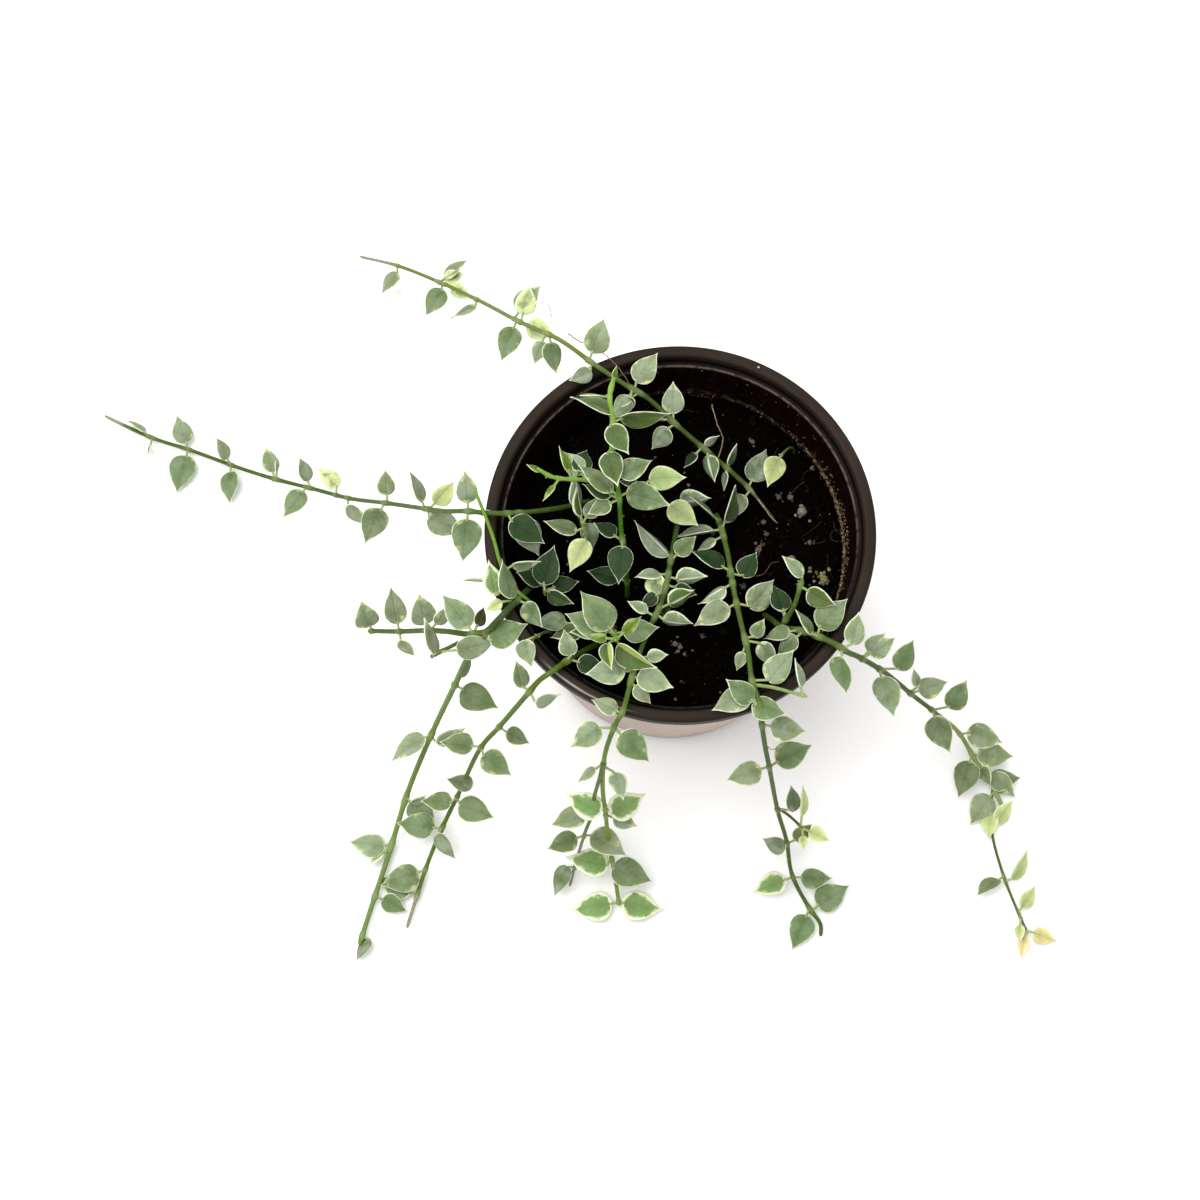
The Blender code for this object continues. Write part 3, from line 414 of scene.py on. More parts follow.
def lofted(rings, tip):
    """A closed solid through four-cornered rings to a point."""
    points = [p for ring in rings for p in ring] + [tip]
    faces = [(3, 2, 1, 0)]
    for r in range(len(rings) - 1):
        for k in range(4):
            a, b = r * 4 + k, r * 4 + (k + 1) % 4
            faces.append((a, b, b + 4, a + 4))
    last = 4 * (len(rings) - 1)
    faces += [(last + k, last + (k + 1) % 4, len(points) - 1) for k in range(4)]
    return np.array(points), faces


def stations(curve):
    """Distances along the curve that keep it near the straight lines between them."""
    points, reach = curve
    picked = [0]
    for i in range(2, len(points)):
        start = points[picked[-1]]
        chord = points[i] - start
        chord = chord / np.linalg.norm(chord)
        between = points[picked[-1] + 1:i] - start
        away = between - np.outer(between @ chord, chord)
        bowed = np.linalg.norm(away, axis=1).max() > STEM_BOW
        if bowed or reach[i] - reach[picked[-1]] > STEM_LONGEST:
            picked.append(i - 1)
    picked.append(len(points) - 1)
    return reach[picked]


def swept(centres, radii, sides, side, start=0.0):
    """Rings of points round a line of centres, and the faces between them."""
    points, faces = [], []
    last = len(centres) - 1
    for i, (centre, radius) in enumerate(zip(centres, radii)):
        ahead = centres[min(i + 1, last)] - centres[max(i - 1, 0)]
        ahead = ahead / np.linalg.norm(ahead)
        side = side - ahead * (side @ ahead)
        side = side / np.linalg.norm(side)
        up = np.cross(ahead, side)
        for k in range(sides):
            angle = 2 * math.pi * (k + start) / sides
            points.append(centre + radius * (math.cos(angle) * side + math.sin(angle) * up))
        if i:
            a = (i - 1) * sides
            faces += [(a + k, a + (k + 1) % sides, a + sides + (k + 1) % sides, a + sides + k)
                      for k in range(sides)]
    return points, faces


def stem_solid(curve, thick, grow):
    """A closed tube along the curve that thins towards its tip."""
    distances = stations(curve)
    centres = [along(curve, d) for d in distances]
    radii = [thick * (1 - TAPER * d / distances[-1]) + grow for d in distances]
    points, faces = swept(centres, radii, STEM_SIDES, np.array([1.0, 0.0, 0.0]), 0.5)
    faces.append(tuple(reversed(range(STEM_SIDES))))
    faces.append(tuple(range(len(points) - STEM_SIDES, len(points))))
    return np.array(points), faces


def tree_of(points, faces):
    return BVHTree.FromPolygons([tuple(p) for p in points], faces, all_triangles=False)


# Turns that a leaf tries in order, in degrees: how much it's lifted and how much it swings.
LIFTS = [(0, 0)] + [(s * a, t * b) for a in (6, 12, 18, 25, 33, 42, 52) for b in (0, 10, 20)
                    for s in (1, -1) for t in (1, -1)]


def settle(vines, pot):
    """Poses of every leaf, each turned by small steps until it clears the other pieces."""
    curves = {name: [smooth(run["route"]) for run in runs] for name, runs in vines.items()}
    stems = {}
    for name, runs in vines.items():
        stems[name] = [tree_of(*stem_solid(curve, run["thick"], GAP))
                       for curve, run in zip(curves[name], runs)]
    placed = {name: [] for name in vines}
    poses = {name: [[] for _ in runs] for name, runs in vines.items()}
    stuck = []
    for name, runs in vines.items():
        for index, (curve, run) in enumerate(zip(curves[name], runs)):
            for row in run["leaves"]:
                for lift, swing in LIFTS:
                    pose = leaf_pose(curve, run["thick"], row, lift, swing)
                    solids = leaf_solids(*pose, GAP)
                    outer = np.vstack([solids[0][0][4:]] + [points[4:] for points, _ in solids[1:]])
                    if outer[:, 2].min() < LOWEST_LEAF:
                        continue
                    level = np.hypot(outer[:, 0], outer[:, 1])
                    if (outer[level < LEDGE_RADIUS + 1, 2] < SOIL_TOP + CLEAR_OF_SOIL).any():
                        continue
                    trees = [tree_of(points, faces) for points, faces in solids]
                    near = [pot] + [tree for other in vines if other != name
                                    for tree in stems[other] + placed[other]]
                    if not any(tree.overlap(other) for tree in trees for other in near):
                        break
                else:
                    stuck.append((name, index, row))
                    continue
                placed[name] += trees
                poses[name][index].append((pose, row))
    return curves, poses, stuck


# Where a run dries out: distance along the run and the share of its green that is lost there.
DRY_ENDS = {
    ("vine_back_left", 0): [(0, 0.45), (34, 0.4), (46, 0.05), (256, 0.15), (266, 0.95)],
    ("vine_left_long", 0): [(0, 0.1), (278, 0.15), (286, 0.9)],
    ("vine_front_left", 0): [(0, 0.1), (236, 0.1), (246, 0.7)],
    ("vine_front_left_inner", 0): [(0, 0.1), (198, 0.15), (208, 0.9)],
    ("vine_front", 1): [(0, 0.25), (60, 0.3), (84, 0.85)],
    ("vine_right", 1): [(0, 0.1), (48, 0.2), (58, 0.75)],
}
# The oldest stretch of vine_back_left is a bare thin root: distances along it, and share of root.
ROOT_START = ((0, 30, 37), (1.0, 1.0, 0.0))
ROOT_RADIUS = 0.45
# How much of a stem is young and bright, where that isn't none of it.
YOUNG = {"shoot_upright": 0.85, "shoot_front_leaves": 0.6, "shoot_left_rim": 0.55,
         "sprout_wall": 0.15, "vine_front": 0.3}
STEM_ROUND = 12  # points round a stem
SWELL, SWELL_REACH = 0.4, 1.3  # how far a leaf joint swells, and how far from it in mm
NUB_RADIUS, NUB_DRY = 0.34, 0.35
NUB_TINT = (0.30, 0.30, 0.15, 0)
STALK_RADII = (0.5, 0.47, 0.42, 0.41, 0.45, 0.5)
# Share of its CAD radius that a stem fills between its joints.
USUAL_SLIM = 0.78
SLIM = {"vine_front_left": 1.1, "vine_front_left_inner": 1.0, "vine_left_long": 0.98,
        "vine_front": 0.9, "vine_right": 0.92, "vine_front_right": 0.88, "vine_back_left": 0.85}
# Greens along a run whose stem isn't the plain stem colour: distance along it, and the colour.
STEM_TONES = {
    ("shoot_upright", 0): [
        (0, (0.030, 0.085, 0.004)), (60, (0.038, 0.12, 0.003)), (86, (0.075, 0.20, 0.008)),
        (96, (0.165, 0.31, 0.03))],
    ("vine_front_left", 0): [
        (60, (0.032, 0.058, 0.012)), (110, (0.115, 0.185, 0.040)), (237, (0.13, 0.20, 0.05))],
    ("vine_front", 0): [
        (80, (0.030, 0.060, 0.006)), (110, (0.070, 0.12, 0.012)), (140, (0.13, 0.205, 0.018)),
        (235, (0.14, 0.21, 0.03))],
    ("vine_back_left", 0): [
        (84, (0.040, 0.066, 0.012)), (110, (0.10, 0.142, 0.022)), (256, (0.105, 0.15, 0.024))],
    ("vine_front_left_inner", 0): [(0, (0.052, 0.092, 0.014)), (80, (0.07, 0.122, 0.009))],
    ("vine_front_right", 1): [(0, (0.18, 0.25, 0.075)), (18, (0.22, 0.29, 0.10))],
    ("vine_right", 0): [
        (150, (0.052, 0.088, 0.012)), (168, (0.20, 0.25, 0.07)), (213, (0.22, 0.26, 0.08))],
}
# How much of a leaf's stalk is young, for tints where that isn't none of it.
YOUNG_TINTS = {"bright": 0.9, "yellow": 0.6, "edge": 0.35, "varieg": 0.3}

# Blades folded sharply along the midrib: above 0 downwards with a painted highlight along the
# ridge, below 0 upwards with one half paler yellow-green. Keys are the piece, the distance along
# its run and the tint.
CREASED = {
    ("vine_front", 24, "pale"): 1.0, ("vine_front", 57, "pale"): 1.0,
    ("vine_front", 71, "pale"): 0.8, ("vine_front", 69, "edge"): 0.7,
    ("vine_front", 50, "grey"): 1.0, ("vine_back_left", 54, "green"): 1.0,
    ("vine_front_right", 56, "pale"): 0.9, ("shoot_centre_left", 35, "pale"): 1.0,
    ("shoot_centre_left", 42, "edge"): 1.0, ("shoot_front_leaves", 55, "edge"): -1.0}

# For each tint: width of the pale margin in mm, share of cream patches, and waxy bloom.
FINISH = {
    "sage": (0.27, 0.16, 0.75), "green": (0.26, 0.12, 0.4), "deep": (0.2, 0.0, 0.04),
    "grey": (0.2, 0.05, 0.9), "pale": (0.36, 0.2, 0.8), "cream": (0.5, 0.75, 0.3),
    "edge": (0.4, 0.08, 0.15), "varieg": (1.3, 0.3, 0.25), "yellow": (0.3, 0.2, 0.1),
    "bright": (0.1, 0.1, 0.0), "olive": (0.25, 0.0, 0.2), "brown": (0.2, 0.0, 0.3),
    "tan": (0.3, 0.1, 0.0),
}

# Painted shade: blades low in the pot get a darker tint. Heights, and the share of their tint that
# is left there.
SHADE_IN_POT = ((90, 113), (0.55, 1.0))

# A blade's outline: share of its length from the base, and share of its greatest half width.
OUTLINE = np.array([
    (0.0, 0.06), (0.012, 0.27), (0.035, 0.47), (0.07, 0.67), (0.12, 0.84), (0.18, 0.95),
    (0.25, 1.0), (0.33, 0.995), (0.41, 0.955), (0.5, 0.87), (0.59, 0.745), (0.67, 0.595),
    (0.75, 0.42), (0.82, 0.265), (0.88, 0.15), (0.935, 0.072), (0.975, 0.028)])
# Places across a blade, as shares of its half width.
COLUMNS = np.array([-1, -0.9, -0.66, -0.34, 0, 0.34, 0.66, 0.9, 1])

# Crumbs that stand out on the soil: x, y, radius, and how pale they are.
KEY_CRUMBS = [
    (27.1, -0.2, 1.2, 0.5), (38.5, -3.4, 1.5, 0.75), (34.4, 18.5, 1.0, 0.55),
    (38.5, 18.5, 1.1, 0.6), (42.2, 13.3, 1.9, 0.95), (30.2, 5.5, 0.9, 0.4), (29.2, 9.6, 1.0, 0.45),
    (46.2, 29.0, 0.9, 0.5), (26.0, 38.3, 0.9, 0.5), (-1.0, -32.5, 1.0, 0.8), (0.6, -33.6, 0.8, 0.9),
    (-0.2, -35.0, 0.7, 0.7), (2.0, -36.0, 0.6, 0.7), (17.0, 26.0, 0.8, 0.6), (12.0, 6.0, 1.0, 0.35),
    (44.5, 2.5, 0.9, 0.5), (22.0, -13.0, 1.0, 0.35), (8.0, -30.0, 0.7, 0.5)]
CRUMB_SEED, CRUMB_SQUASH = 41, 0.75
BITS_ROUND_CRUMB, MOSS_BITS = 5, 34
PALE_CRUMBS = 0.05  # share of the loose crumbs that are pale
MOSS_CLUMP = (48.6, -9.8)
WHITE_SPECK = (26.4, 55.6, POT_HEIGHT + 0.1)  # on the lip

# Dried roots and threads: radius, how brown, and the points they follow.
THREADS = [
    (0.22, 0.9, [
        (-36.8, 71.5, 100.0), (-33.4, 66.9, 106.0), (-26.7, 60.6, 113.2), (-20.7, 54.7, 114.6),
        (-16.1, 49.0, 112.0)]),
    (0.26, 0.3, [
        (14.0, 31.8, 86.5), (15.3, 35.4, 90.0), (15.0, 38.0, 94.0), (13.5, 39.7, 97.0),
        (11.3, 45.7, 102.0)]),
    (0.18, 0.35, [
        (-42.4, 78.9, 97.5), (-43.6, 82.6, 98.5), (-46.4, 83.9, 98.0), (-48.3, 83.0, 96.8)]),
    (0.2, 0.3, [
        (-47.0, -36.6, 110.6), (-48.6, -39.4, 108.2), (-50.6, -39.8, 107.6), (-51.2, -37.8, 108.6),
        (-49.8, -37.2, 109.4)]),
    (0.16, 0.5, [
        (26.4, -67.0, 97.5), (29.0, -69.6, 96.0), (31.2, -69.2, 94.0), (31.8, -71.8, 92.2)]),
    (0.2, 0.12, [
        (24.6, 18.9, 92.4), (26.3, 16.7, 91.4), (28.7, 13.5, 90.3), (31.1, 10.8, 88.8),
        (33.8, 8.5, 87.4)]),
    (0.14, 0.9, [(21.0, -8.0, 86.6), (25.0, -5.4, 88.4), (27.4, -1.6, 87.8), (28.2, 3.0, 86.4)]),
    (0.12, 0.9, [(24.0, -9.8, 87.0), (28.4, -9.6, 89.2), (31.0, -5.6, 88.0), (33.8, -4.4, 86.4)]),
]
THREAD_SEED = 7
TAN_THREAD, BROWN_THREAD = (0.42, 0.33, 0.20), (0.16, 0.085, 0.05)

# Bits that cling to the inner wall: how many are heaped low on the +X side, lie in a line round the
# wall, and are splashed higher up; then the specks above them and the fibres on the soil's edge.
HEAPED, LINED, SPLASHED = 200, 100, 120
WALL_SPECKS, FIBRES, FIBRES_BY_HEAP = 26, 22, 14
RESIDUE, SPECK, FIBRE = (0.20, 0.142, 0.080), (0.11, 0.075, 0.045), (0.075, 0.048, 0.028)

# Light and view, in metres and degrees
LIGHT_SIZE = 1.1
LIGHT_PLACE, LIGHT_AIM = (-0.42, 0.18, 1.38), (0, 0, 0.05)
EYE_PLACE, EYE_TILT = (-0.026, -0.173, 0.700), 14.2
SENSOR_WIDTH = 36.0


def colour(name, description, default):
    return FloatVectorProperty(
        name=name, description=description, default=default, min=0, max=1, subtype="COLOR")


class DischidiaPotSettings(bpy.types.PropertyGroup):
    """Sizes and colours of the nursery pot"""

    rim_radius: FloatProperty(
        name="Rim Radius", description="Outer radius of the flat lip",
        default=POT_BOX[1].x, min=0.04, max=0.09, unit="LENGTH")
    height: FloatProperty(
        name="Height", description="Height of the lip above the surface the pot stands on",
        default=POT_BOX[1].z, min=0.07, max=0.16, unit="LENGTH")
    base_radius: FloatProperty(
        name="Base Radius", description="Outer radius at the foot of the wall",
        default=BASE_RADIUS * MM, min=0.03, max=0.07, unit="LENGTH")
    corner_radius: FloatProperty(
        name="Corner Radius", description="Rounding of the moulded edges",
        default=0.0005, min=0.0001, max=0.001, unit="LENGTH")
    sides: IntProperty(
        name="Sides", description="Steps round the turned wall", default=180, min=48, max=360)
    rim_colour: colour(
        name="Rim", description="Brown of the lip and of the step inside it",
        default=(0.0180, 0.0130, 0.0088))
    # Partly painted shade: the wall inside the pot is kept darker than the lip for the shade that
    # falls there.
    inside_colour: colour(
        name="Inside", description="Darker brown of the wall above the soil",
        default=(0.0040, 0.0016, 0.0010))
    outside_colour: colour(
        name="Outside", description="Pale dusty taupe of the outer wall",
        default=(0.461, 0.372, 0.329))
    dirt_colour: colour(
        name="Dirt", description="Dried soil and mineral line on the inner wall",
        default=(0.170, 0.125, 0.072))
    dirt_height: FloatProperty(
        name="Dirt Line Height", description="Height of the dried line on the inner wall",
        default=0.0872, min=0.05, max=0.1, unit="LENGTH")


class DischidiaSoilSettings(bpy.types.PropertyGroup):
    """Sizes and colours of the potting soil"""

    lump_height: FloatProperty(
        name="Lump Height", description="How far the surface rises and falls",
        default=0.0011, min=0, max=0.003, unit="LENGTH")
    crumb_size: FloatProperty(
        name="Crumb Size", description="Radius of a middling loose crumb",
        default=0.00055, min=0.0001, max=0.002, unit="LENGTH")
    crumb_count: IntProperty(
        name="Crumbs", description="Loose crumbs over the surface", default=900, min=0, max=2000)
    soil_colour: colour(
        name="Soil", description="Near-black moist peat", default=(0.0011, 0.0008, 0.0006))
    crumb_colour: colour(
        name="Pale Crumb", description="Dried bark and mineral crumbs", default=(0.20, 0.17, 0.125))
    moss_colour: colour(
        name="Moss", description="Dried moss by the wall", default=(0.19, 0.18, 0.085))


class DischidiaPlantSettings(bpy.types.PropertyGroup):
    """Sizes and colours of the stems and leaves"""

    blade_thickness: FloatProperty(
        name="Blade Thickness", description="Thickness of a fleshy blade at its middle",
        default=0.0011, min=0.0004, max=0.002, unit="LENGTH")
    stem_step: FloatProperty(
        name="Stem Step", description="Length of one ring of the stem",
        default=0.0012, min=0.0005, max=0.004, unit="LENGTH")
    cup: FloatProperty(
        name="Cup", description="How far a blade folds up at its midrib, as a share of its width",
        default=0.13, min=0, max=0.5, subtype="FACTOR")
    stem_colour: colour(
        name="Stem", description="Green of the older stems", default=(0.052, 0.092, 0.014))
    young_colour: colour(
        name="Young Stem", description="Brighter green of new growth", default=(0.165, 0.31, 0.030))
    node_colour: colour(
        name="Joint", description="Pale green of the swollen leaf joints and stalks",
        default=(0.300, 0.365, 0.155))
    dry_colour: colour(
        name="Dry Stem", description="Grey-brown of dried ends", default=(0.300, 0.270, 0.195))
    margin_colour: colour(
        name="Margin", description="Cream line round each blade", default=(0.70, 0.74, 0.55))
    patch_colour: colour(
        name="Patches", description="Cream and yellow patches of variegated blades",
        default=(0.60, 0.66, 0.30))
    bloom_colour: colour(
        name="Bloom", description="Waxy grey bloom over the blade", default=(0.285, 0.345, 0.240))
    sage: colour(
        name="Sage", description="Grey-green of mature blades", default=(0.156, 0.201, 0.091))
    green: colour(
        name="Green", description="Mid green of mature blades", default=(0.102, 0.153, 0.054))
    # Partly painted shade: a much darker copy of the green, for blades that sit in shade.
    deep: colour(
        name="Deep", description="Dark green of blades low in the pot",
        default=(0.015, 0.040, 0.008))
    grey: colour(
        name="Grey", description="Greyed green of old and turned blades",
        default=(0.081, 0.117, 0.046))
    pale: colour(
        name="Pale", description="Light green with heavy bloom", default=(0.203, 0.278, 0.139))
    cream: colour(
        name="Cream", description="Green of blades that are mostly cream",
        default=(0.283, 0.353, 0.173))
    edge: colour(
        name="Edged", description="Green of blades with a clear cream edge",
        default=(0.062, 0.110, 0.019))
    varieg: colour(
        name="Variegated", description="Green of blades with broad patches",
        default=(0.160, 0.280, 0.077))
    yellow: colour(
        name="Yellow", description="Pale yellow-green blades", default=(0.449, 0.526, 0.213))
    bright: colour(
        name="Bright", description="New growth at the tips", default=(0.103, 0.178, 0.011))
    olive: colour(name="Olive", description="Ageing olive blades", default=(0.129, 0.143, 0.038))
    brown: colour(name="Brown", description="Withered blades", default=(0.045, 0.045, 0.006))
    tan: colour(name="Tan", description="Dried blade tips", default=(0.560, 0.490, 0.240))


class DischidiaStageSettings(bpy.types.PropertyGroup):
    """Floor, light and view"""

    floor_colour: colour(
        name="Floor", description="Pale floor under the pot", default=(0.955, 0.96, 0.965))
    floor_size: FloatProperty(
        name="Floor Size", description="Side of the square floor",
        default=8.0, min=1.0, max=40.0, unit="LENGTH")
    key_power: FloatProperty(
        name="Key Light", description="Power of the large soft light overhead, in watts",
        default=20.5, min=0, max=200, unit="POWER")
    sky_strength: FloatProperty(
        name="Sky", description="Strength of the even white light from all round",
        default=0.93, min=0, max=4)
    lens: FloatProperty(
        name="Lens", description="Focal length in millimetres on a 36 mm sensor",
        default=57.0, min=20, max=200)


class NodeLook:
    """A node material being put together."""

    def __init__(self, name, roughness, specular):
        self.material = bpy.data.materials.new(name)
        self.material.use_nodes = True
        self.tree = self.material.node_tree
        self.shader = self.tree.nodes["Principled BSDF"]
        self.shader.inputs["Roughness"].default_value = roughness
        self.shader.inputs["Specular IOR Level"].default_value = specular

    def node(self, kind, *inputs, **settings):
        """A shader node. Inputs are values or sockets in order, with None to leave one alone."""
        made = self.tree.nodes.new("ShaderNode" + kind)
        for key, value in settings.items():
            setattr(made, key, value)
        for socket, value in zip(made.inputs, inputs):
            self.put(socket, value)
        return made

    def put(self, socket, value):
        if isinstance(value, bpy.types.NodeSocket):
            self.tree.links.new(value, socket)
        elif value is not None:
            if socket.type == "RGBA" and len(value) == 3:
                value = (*value, 1.0)
            socket.default_value = value

    def put_all(self, node, **values):
        for name, value in values.items():
            self.put(node.inputs[name], value)

    def math(self, operation, a, b=None, clamp=False):
        return self.node("Math", a, b, operation=operation, use_clamp=clamp).outputs[0]

    def plus(self, a, b, clamp=False):
        return self.math("ADD", a, b, clamp)

    def minus(self, a, b):
        return self.math("SUBTRACT", a, b)

    def times(self, a, b, clamp=False):
        return self.math("MULTIPLY", a, b, clamp)

    def span(self, value, low, high, to_low=0.0, to_high=1.0):
        """Value's way from low to high, eased at both ends, as a number from to_low to to_high."""
        return self.node("MapRange", value, low, high, to_low, to_high,
                         interpolation_type="SMOOTHSTEP").outputs[0]

    def band(self, value, rise, fall):
        """1 between the rise and the fall, each a pair of values, and 0 outside them."""
        return self.times(self.span(value, *rise), self.span(value, *fall, 1.0, 0.0))

    def noise(self, scale, detail=3.0, vector=None, rough=0.5):
        made = self.node("TexNoise")
        self.put_all(made, Vector=vector, Scale=scale, Detail=detail, Roughness=rough)
        return made.outputs[0]

    def mix(self, share, a, b, blend="MIX"):
        made = self.node("Mix", data_type="RGBA", blend_type=blend)
        for socket, value in ((made.inputs[0], share), (made.inputs[6], a), (made.inputs[7], b)):
            self.put(socket, value)
        return made.outputs[2]

    def cells(self, scale, vector):
        made = self.node("TexVoronoi", vector)
        made.inputs["Scale"].default_value = scale
        return made.outputs

    def shaded(self, colour, shade):
        return self.mix(1.0, colour, self.join(shade, shade, shade), "MULTIPLY")

    def place(self):
        return self.node("TexCoord").outputs["Object"]

    def attribute(self, name):
        return self.node("Attribute", attribute_name=name)

    def split(self, vector):
        return self.node("SeparateXYZ", vector).outputs

    def join(self, x, y, z):
        return self.node("CombineXYZ", x, y, z).outputs[0]

    def bump(self, height, distance, strength=1.0):
        made = self.node("Bump")
        self.put_all(made, Height=height, Distance=distance, Strength=strength)
        self.put(self.shader.inputs["Normal"], made.outputs[0])

    def colour(self, value):
        self.put(self.shader.inputs["Base Color"], value)

    def rough(self, value):
        self.put(self.shader.inputs["Roughness"], value)


def pot_profile():
    """Half of the pot's section as (radius, height), from the middle of its base to its floor."""
    lip_inner = RIM_RADIUS - LIP_WIDTH
    return [
        (0.0, 0.0), (BASE_RADIUS - 1.0, 0.0), (BASE_RADIUS, 1.0), (RIM_RADIUS - 1.6, 103.0),
        (RIM_RADIUS - 0.5, 104.0), (RIM_RADIUS, 105.0), (RIM_RADIUS, POT_HEIGHT - 0.7),
        (RIM_RADIUS - 0.7, POT_HEIGHT), (lip_inner + 0.6, POT_HEIGHT),
        (lip_inner, POT_HEIGHT - 0.6), (lip_inner - 0.2, POT_HEIGHT - LIP_DROP),
        (LEDGE_RADIUS, POT_HEIGHT - LIP_DROP - 0.3),
        (INNER_BASE_RADIUS + 1.0, FLOOR + 1.0), (INNER_BASE_RADIUS, FLOOR), (0.0, FLOOR),
    ]


def inner_radius(height):
    (r0, z0), (r1, z1) = pot_profile()[11:13]
    return r0 + (r1 - r0) * (height - z0) / (z1 - z0)


def turned(profile, sides):
    """Points and faces of a profile turned about the Z axis; its ends lie on the axis."""
    points = [(0.0, 0.0, profile[0][1]), (0.0, 0.0, profile[-1][1])]
    ring = profile[1:-1]
    for r, z in ring:
        for k in range(sides):
            a = 2 * math.pi * k / sides
            points.append((r * math.cos(a), r * math.sin(a), z))
    faces = []
    for k in range(sides):
        n = (k + 1) % sides
        faces.append((0, 2 + n, 2 + k))
        for i in range(len(ring) - 1):
            a, b = 2 + i * sides, 2 + (i + 1) * sides
            faces.append((a + k, a + n, b + n, b + k))
        last = 2 + (len(ring) - 1) * sides
        faces.append((1, last + k, last + n))
    return np.array(points), faces


def rounded(profile, radius, steps=4):
    """The profile with each inner corner eased over the radius."""
    out = [np.array(profile[0], float)]
    for before, corner, after in zip(profile, profile[1:], profile[2:]):
        before, corner, after = (np.array(p, float) for p in (before, corner, after))
        back, on = before - corner, after - corner
        start = corner + back * min(0.45, radius / np.linalg.norm(back))
        end = corner + on * min(0.45, radius / np.linalg.norm(on))
        for t in np.linspace(0, 1, steps):
            out.append((1 - t) ** 2 * start + 2 * t * (1 - t) * corner + t * t * end)
    return out + [np.array(profile[-1], float)]


def spaced(profile, longest):
    """The profile with extra points where two neighbours lie further apart than longest."""
    out = [profile[0]]
    for a, b in zip(profile, profile[1:]):
        cuts = max(1, math.ceil(np.linalg.norm(b - a) / longest))
        out += [a + (b - a) * i / cuts for i in range(1, cuts + 1)]
    return out


def add_piece(name, points, faces, looks, marks=None, smooth_faces=True):
    """A mesh object from points in millimetres. Marks are attributes: (name, type, values)."""
    mesh = bpy.data.meshes.new(name)
    mesh.from_pydata([tuple(p) for p in np.asarray(points) * MM], [], faces)
    mesh.update()
    for look in looks:
        mesh.materials.append(look)
    if smooth_faces:
        mesh.polygons.foreach_set("use_smooth", [True] * len(mesh.polygons))
    for mark, kind, values in marks or []:
        layer = mesh.attributes.new(mark, kind, "POINT")
        field = {"FLOAT": "value", "FLOAT_VECTOR": "vector", "FLOAT_COLOR": "color"}[kind]
        layer.data.foreach_set(field, np.asarray(values, np.float32).ravel())
    obj = bpy.data.objects.new(name, mesh)
    bpy.context.scene.collection.objects.link(obj)
    return obj


def settled(obj, node=None):
    """Attaches the piece to the root body, and hides the CAD part it stands for."""
    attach(obj, "root")
    if node:
        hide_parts(node)
    return obj


NONE = (0, 0, 0)
STEM_SLOT, BLADE_SLOT = 0, 1


class Growth:
    """Points, faces and marks of one piece, gathered a bit at a time."""

    def __init__(self):
        self.points, self.faces, self.slots = [], [], []
        self.tint, self.blade, self.finish, self.under, self.crease = [], [], [], [], []
        self.count = 0

    def add(self, points, faces, slot, tint, blade=NONE, finish=NONE, under=0.0, crease=0.0):
        n = len(points)
        self.faces += [tuple(i + self.count for i in face) for face in faces]
        self.slots += [slot] * len(faces)
        self.points.append(np.asarray(points, float))
        marks = ((self.tint, tint, 4), (self.blade, blade, 3), (self.finish, finish, 3))
        for held, values, width in marks:
            held.append(np.broadcast_to(np.asarray(values, float), (n, width)))
        self.under.append(np.broadcast_to(np.asarray(under, float), (n,)))
        self.crease.append(np.full(n, crease))
        self.count += n

    def add_lump(self, centre, radius, seed, squash, colour):
        self.add(*lump(centre, radius, seed, squash), 0, (*colour, 0))

    def piece(self, name, looks):
        obj = add_piece(name, np.vstack(self.points), self.faces, looks, [
            ("tint", "FLOAT_COLOR", np.vstack(self.tint)),
            ("blade", "FLOAT_VECTOR", np.vstack(self.blade)),
            ("finish", "FLOAT_VECTOR", np.vstack(self.finish)),
            ("under", "FLOAT", np.hstack(self.under)), ("crease", "FLOAT", np.hstack(self.crease))])
        obj.data.polygons.foreach_set("material_index", self.slots)
        return obj


def tube(centres, radii, sides):
    """Points and faces of a closed tube through the centres, with rounded ends."""
    centres = np.asarray(centres, float)
    points, faces = swept(centres, radii, sides, np.array([0.31, 0.17, 0.93]))
    last = len(centres) - 1
    for end, before in ((0, 1), (last, last - 1)):
        out = centres[end] - centres[before]
        points.append(centres[end] + out / np.linalg.norm(out) * radii[end] * 0.6)
        tip = len(points) - 1
        for k in range(sides):
            a, b = end * sides + k, end * sides + (k + 1) % sides
            faces.append((a, b, tip) if end else (b, a, tip))
    return np.array(points), faces


def ring_faces(rings, sides):
    """Faces of a closed surface: a first point, rings of points, and a last point."""
    faces = [(0, 1 + k, 1 + (k + 1) % sides) for k in range(sides)]
    for i in range(rings - 1):
        a, b = 1 + i * sides, 1 + (i + 1) * sides
        faces += [(a + k, b + k, b + (k + 1) % sides, a + (k + 1) % sides) for k in range(sides)]
    a, last = 1 + (rings - 1) * sides, 1 + rings * sides
    return faces + [(last, a + (k + 1) % sides, a + k) for k in range(sides)]


def lump(centre, radius, seed, squash=0.75, rings=4, sides=7):
    """A small uneven closed lump."""
    points = [(0.0, 0.0, 1.0)]
    for i in range(1, rings):
        polar = math.pi * i / rings
        for k in range(sides):
            angle = 2 * math.pi * (k + 0.5 * (i % 2)) / sides
            points.append((math.sin(polar) * math.cos(angle), math.sin(polar) * math.sin(angle),
                           math.cos(polar)))
    points.append((0.0, 0.0, -1.0))
    out = []
    for p in points:
        place = Vector(p) * 1.3 + Vector((seed * 3.1, seed * 1.7, seed * 0.9))
        push = 1 + 0.55 * noise.noise(place)
        out.append((centre[0] + p[0] * radius * push, centre[1] + p[1] * radius * push,
                    centre[2] + p[2] * radius * push * squash))
    return np.array(out), ring_faces(rings - 1, sides)


@lru_cache(maxsize=1)
def plant_layout():
    """Stem curves and leaf poses of the whole plant, worked out once."""
    curves, poses, stuck = settle(VINES, tree_of(*turned(pot_profile(), POT_SIDES)))
    if stuck:
        raise RuntimeError(f"no clear place for {len(stuck)} leaves, the first on {stuck[0][0]}")
    return curves, poses


